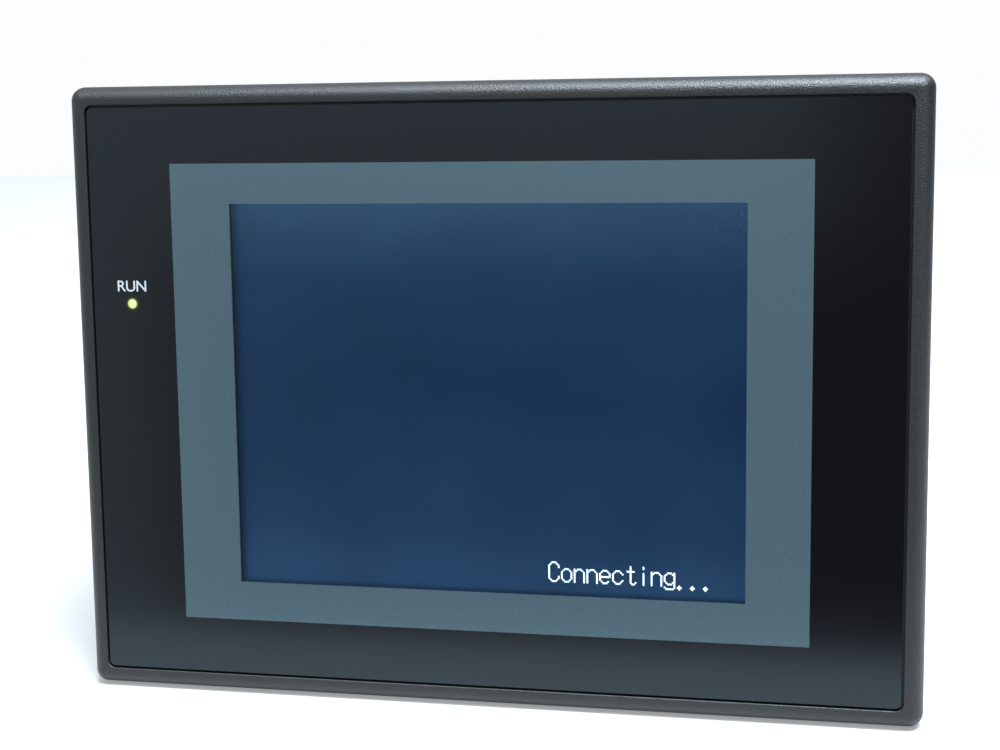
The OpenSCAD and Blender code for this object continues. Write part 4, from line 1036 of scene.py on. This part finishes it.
def flat(name, hex_colour, rough):
    material, tree, shader = start(name)
    colour = linear(hex_colour)
    mottle = spread(tree, noise(tree, 8.0), 0, 1)
    tone = tint(tree, mottle, shade(colour, 0.98), colour)
    tree.links.new(tone, shader.inputs["Base Color"])
    shader.inputs["Roughness"].default_value = rough
    return material


def sheet(name, width, height, at, turn, material, seen=True):
    """A flat rectangle of the set, which is no part of the object."""
    bpy.ops.object.select_all(action="DESELECT")
    bpy.ops.mesh.primitive_plane_add(size=1, location=at, rotation=turn)
    piece = bpy.context.object
    piece.name = name
    piece.scale = (width, height, 1)
    bpy.ops.object.transform_apply(location=False, rotation=False, scale=True)
    piece.data.materials.append(material)
    piece.visible_camera = seen
    return piece


edge_low = Vector((0, flange_back, bezel_low[2]))
corner_low = Vector((0, case_high[1], case_low[2]))
lean = math.atan2(corner_low.z - edge_low.z, corner_low.y - edge_low.y)
along = Vector((0, math.cos(lean), math.sin(lean)))
TABLE_WIDTH, TABLE_DEPTH = 3.0, 0.9
TABLE_FRONT = 0.095  # from the object's lower edge to the table's front edge
middle = edge_low + along * (TABLE_DEPTH / 2 - TABLE_FRONT)
lit_acrylic = flat("backlit_white_acrylic", "A2A4A4", 0.6)
glow_of_table = lit_acrylic.node_tree.nodes["Principled BSDF"]
glow_of_table.inputs["Emission Color"].default_value = linear("FFFFFF")
glow_of_table.inputs["Emission Strength"].default_value = 0.3
dark_cloth = flat("dark_cloth", "0B0B0D", 0.9)
sheet("table", TABLE_WIDTH, TABLE_DEPTH, middle, (lean, 0, 0), lit_acrylic)
print("lean:", round(math.degrees(lean), 2), "degrees")

# %% [markdown]
# A dark figure stands behind the camera, where a photographer would. The satin film mirrors it
# softly, which is what makes the middle of the screen deep and the top and bottom pale. A dark
# flag to the right keeps the bezel's right edge from turning white. The camera sees neither.

# %% Figure behind the camera, and a flag
upright = (math.radians(90), 0, 0)
sideways = (math.radians(90), 0, math.radians(90))
DARK_SHEETS = {  # width, height, place, turn
    "figure_body": (0.81, 0.9, (0.08, -0.6, -0.44), upright),
    "figure_head": (0.12, 0.2, (0.12, -0.6, 0.08), upright),
    "side_flag": (0.7, 0.4, (0.5, 0.2, 0.1), sideways),
}
for name, (width, height, at, turn) in DARK_SHEETS.items():
    sheet(name, width, height, at, turn, dark_cloth, seen=False)
print("dark sheets:", len(DARK_SHEETS))

# %% [markdown]
# One softbox hangs above the table, in front and to the right. A small lamp would cast hard
# shadows, and a wide one leaves the pale, soft ones of a light tent. The world stands for the
# pale room, which is what the film mirrors, and behind the table the camera sees white paper.


# %% Light
def softbox(name, location, target, width, height, watts, colour):
    data = bpy.data.lights.new(name, "AREA")
    data.shape = "RECTANGLE"
    data.size, data.size_y = width, height
    data.energy = watts
    data.color = linear(colour)[:3]
    light = bpy.data.objects.new(name, data)
    bpy.context.scene.collection.objects.link(light)
    light.location = location
    aim = Vector(target) - Vector(location)
    light.rotation_euler = aim.to_track_quat("-Z", "Y").to_euler()
    return light


overhead = softbox(
    "overhead", location=(0.25, -0.35, 1.0), target=(0.05, 0, 0), width=0.6, height=0.4,
    watts=56, colour="E8F3FF"
)

world = bpy.data.worlds.new("studio")
world.use_nodes = True
tree = world.node_tree
room = tree.nodes["Background"]
room.inputs["Color"].default_value = linear("E9F2F6")
room.inputs["Strength"].default_value = 0.85
paper_wall = add(tree, "ShaderNodeBackground", values={"Color": linear("FCFDFE")})
seen = add(tree, "ShaderNodeLightPath").outputs["Is Camera Ray"]
both = add(
    tree, "ShaderNodeMixShader",
    links={0: seen, 1: room.outputs[0], 2: paper_wall.outputs[0]},
)
tree.links.new(both.outputs[0], tree.nodes["World Output"].inputs["Surface"])
bpy.context.scene.world = world
bpy.context.scene.view_settings.view_transform = "Standard"
print("softbox at", tuple(round(v, 2) for v in overhead.location), "m")
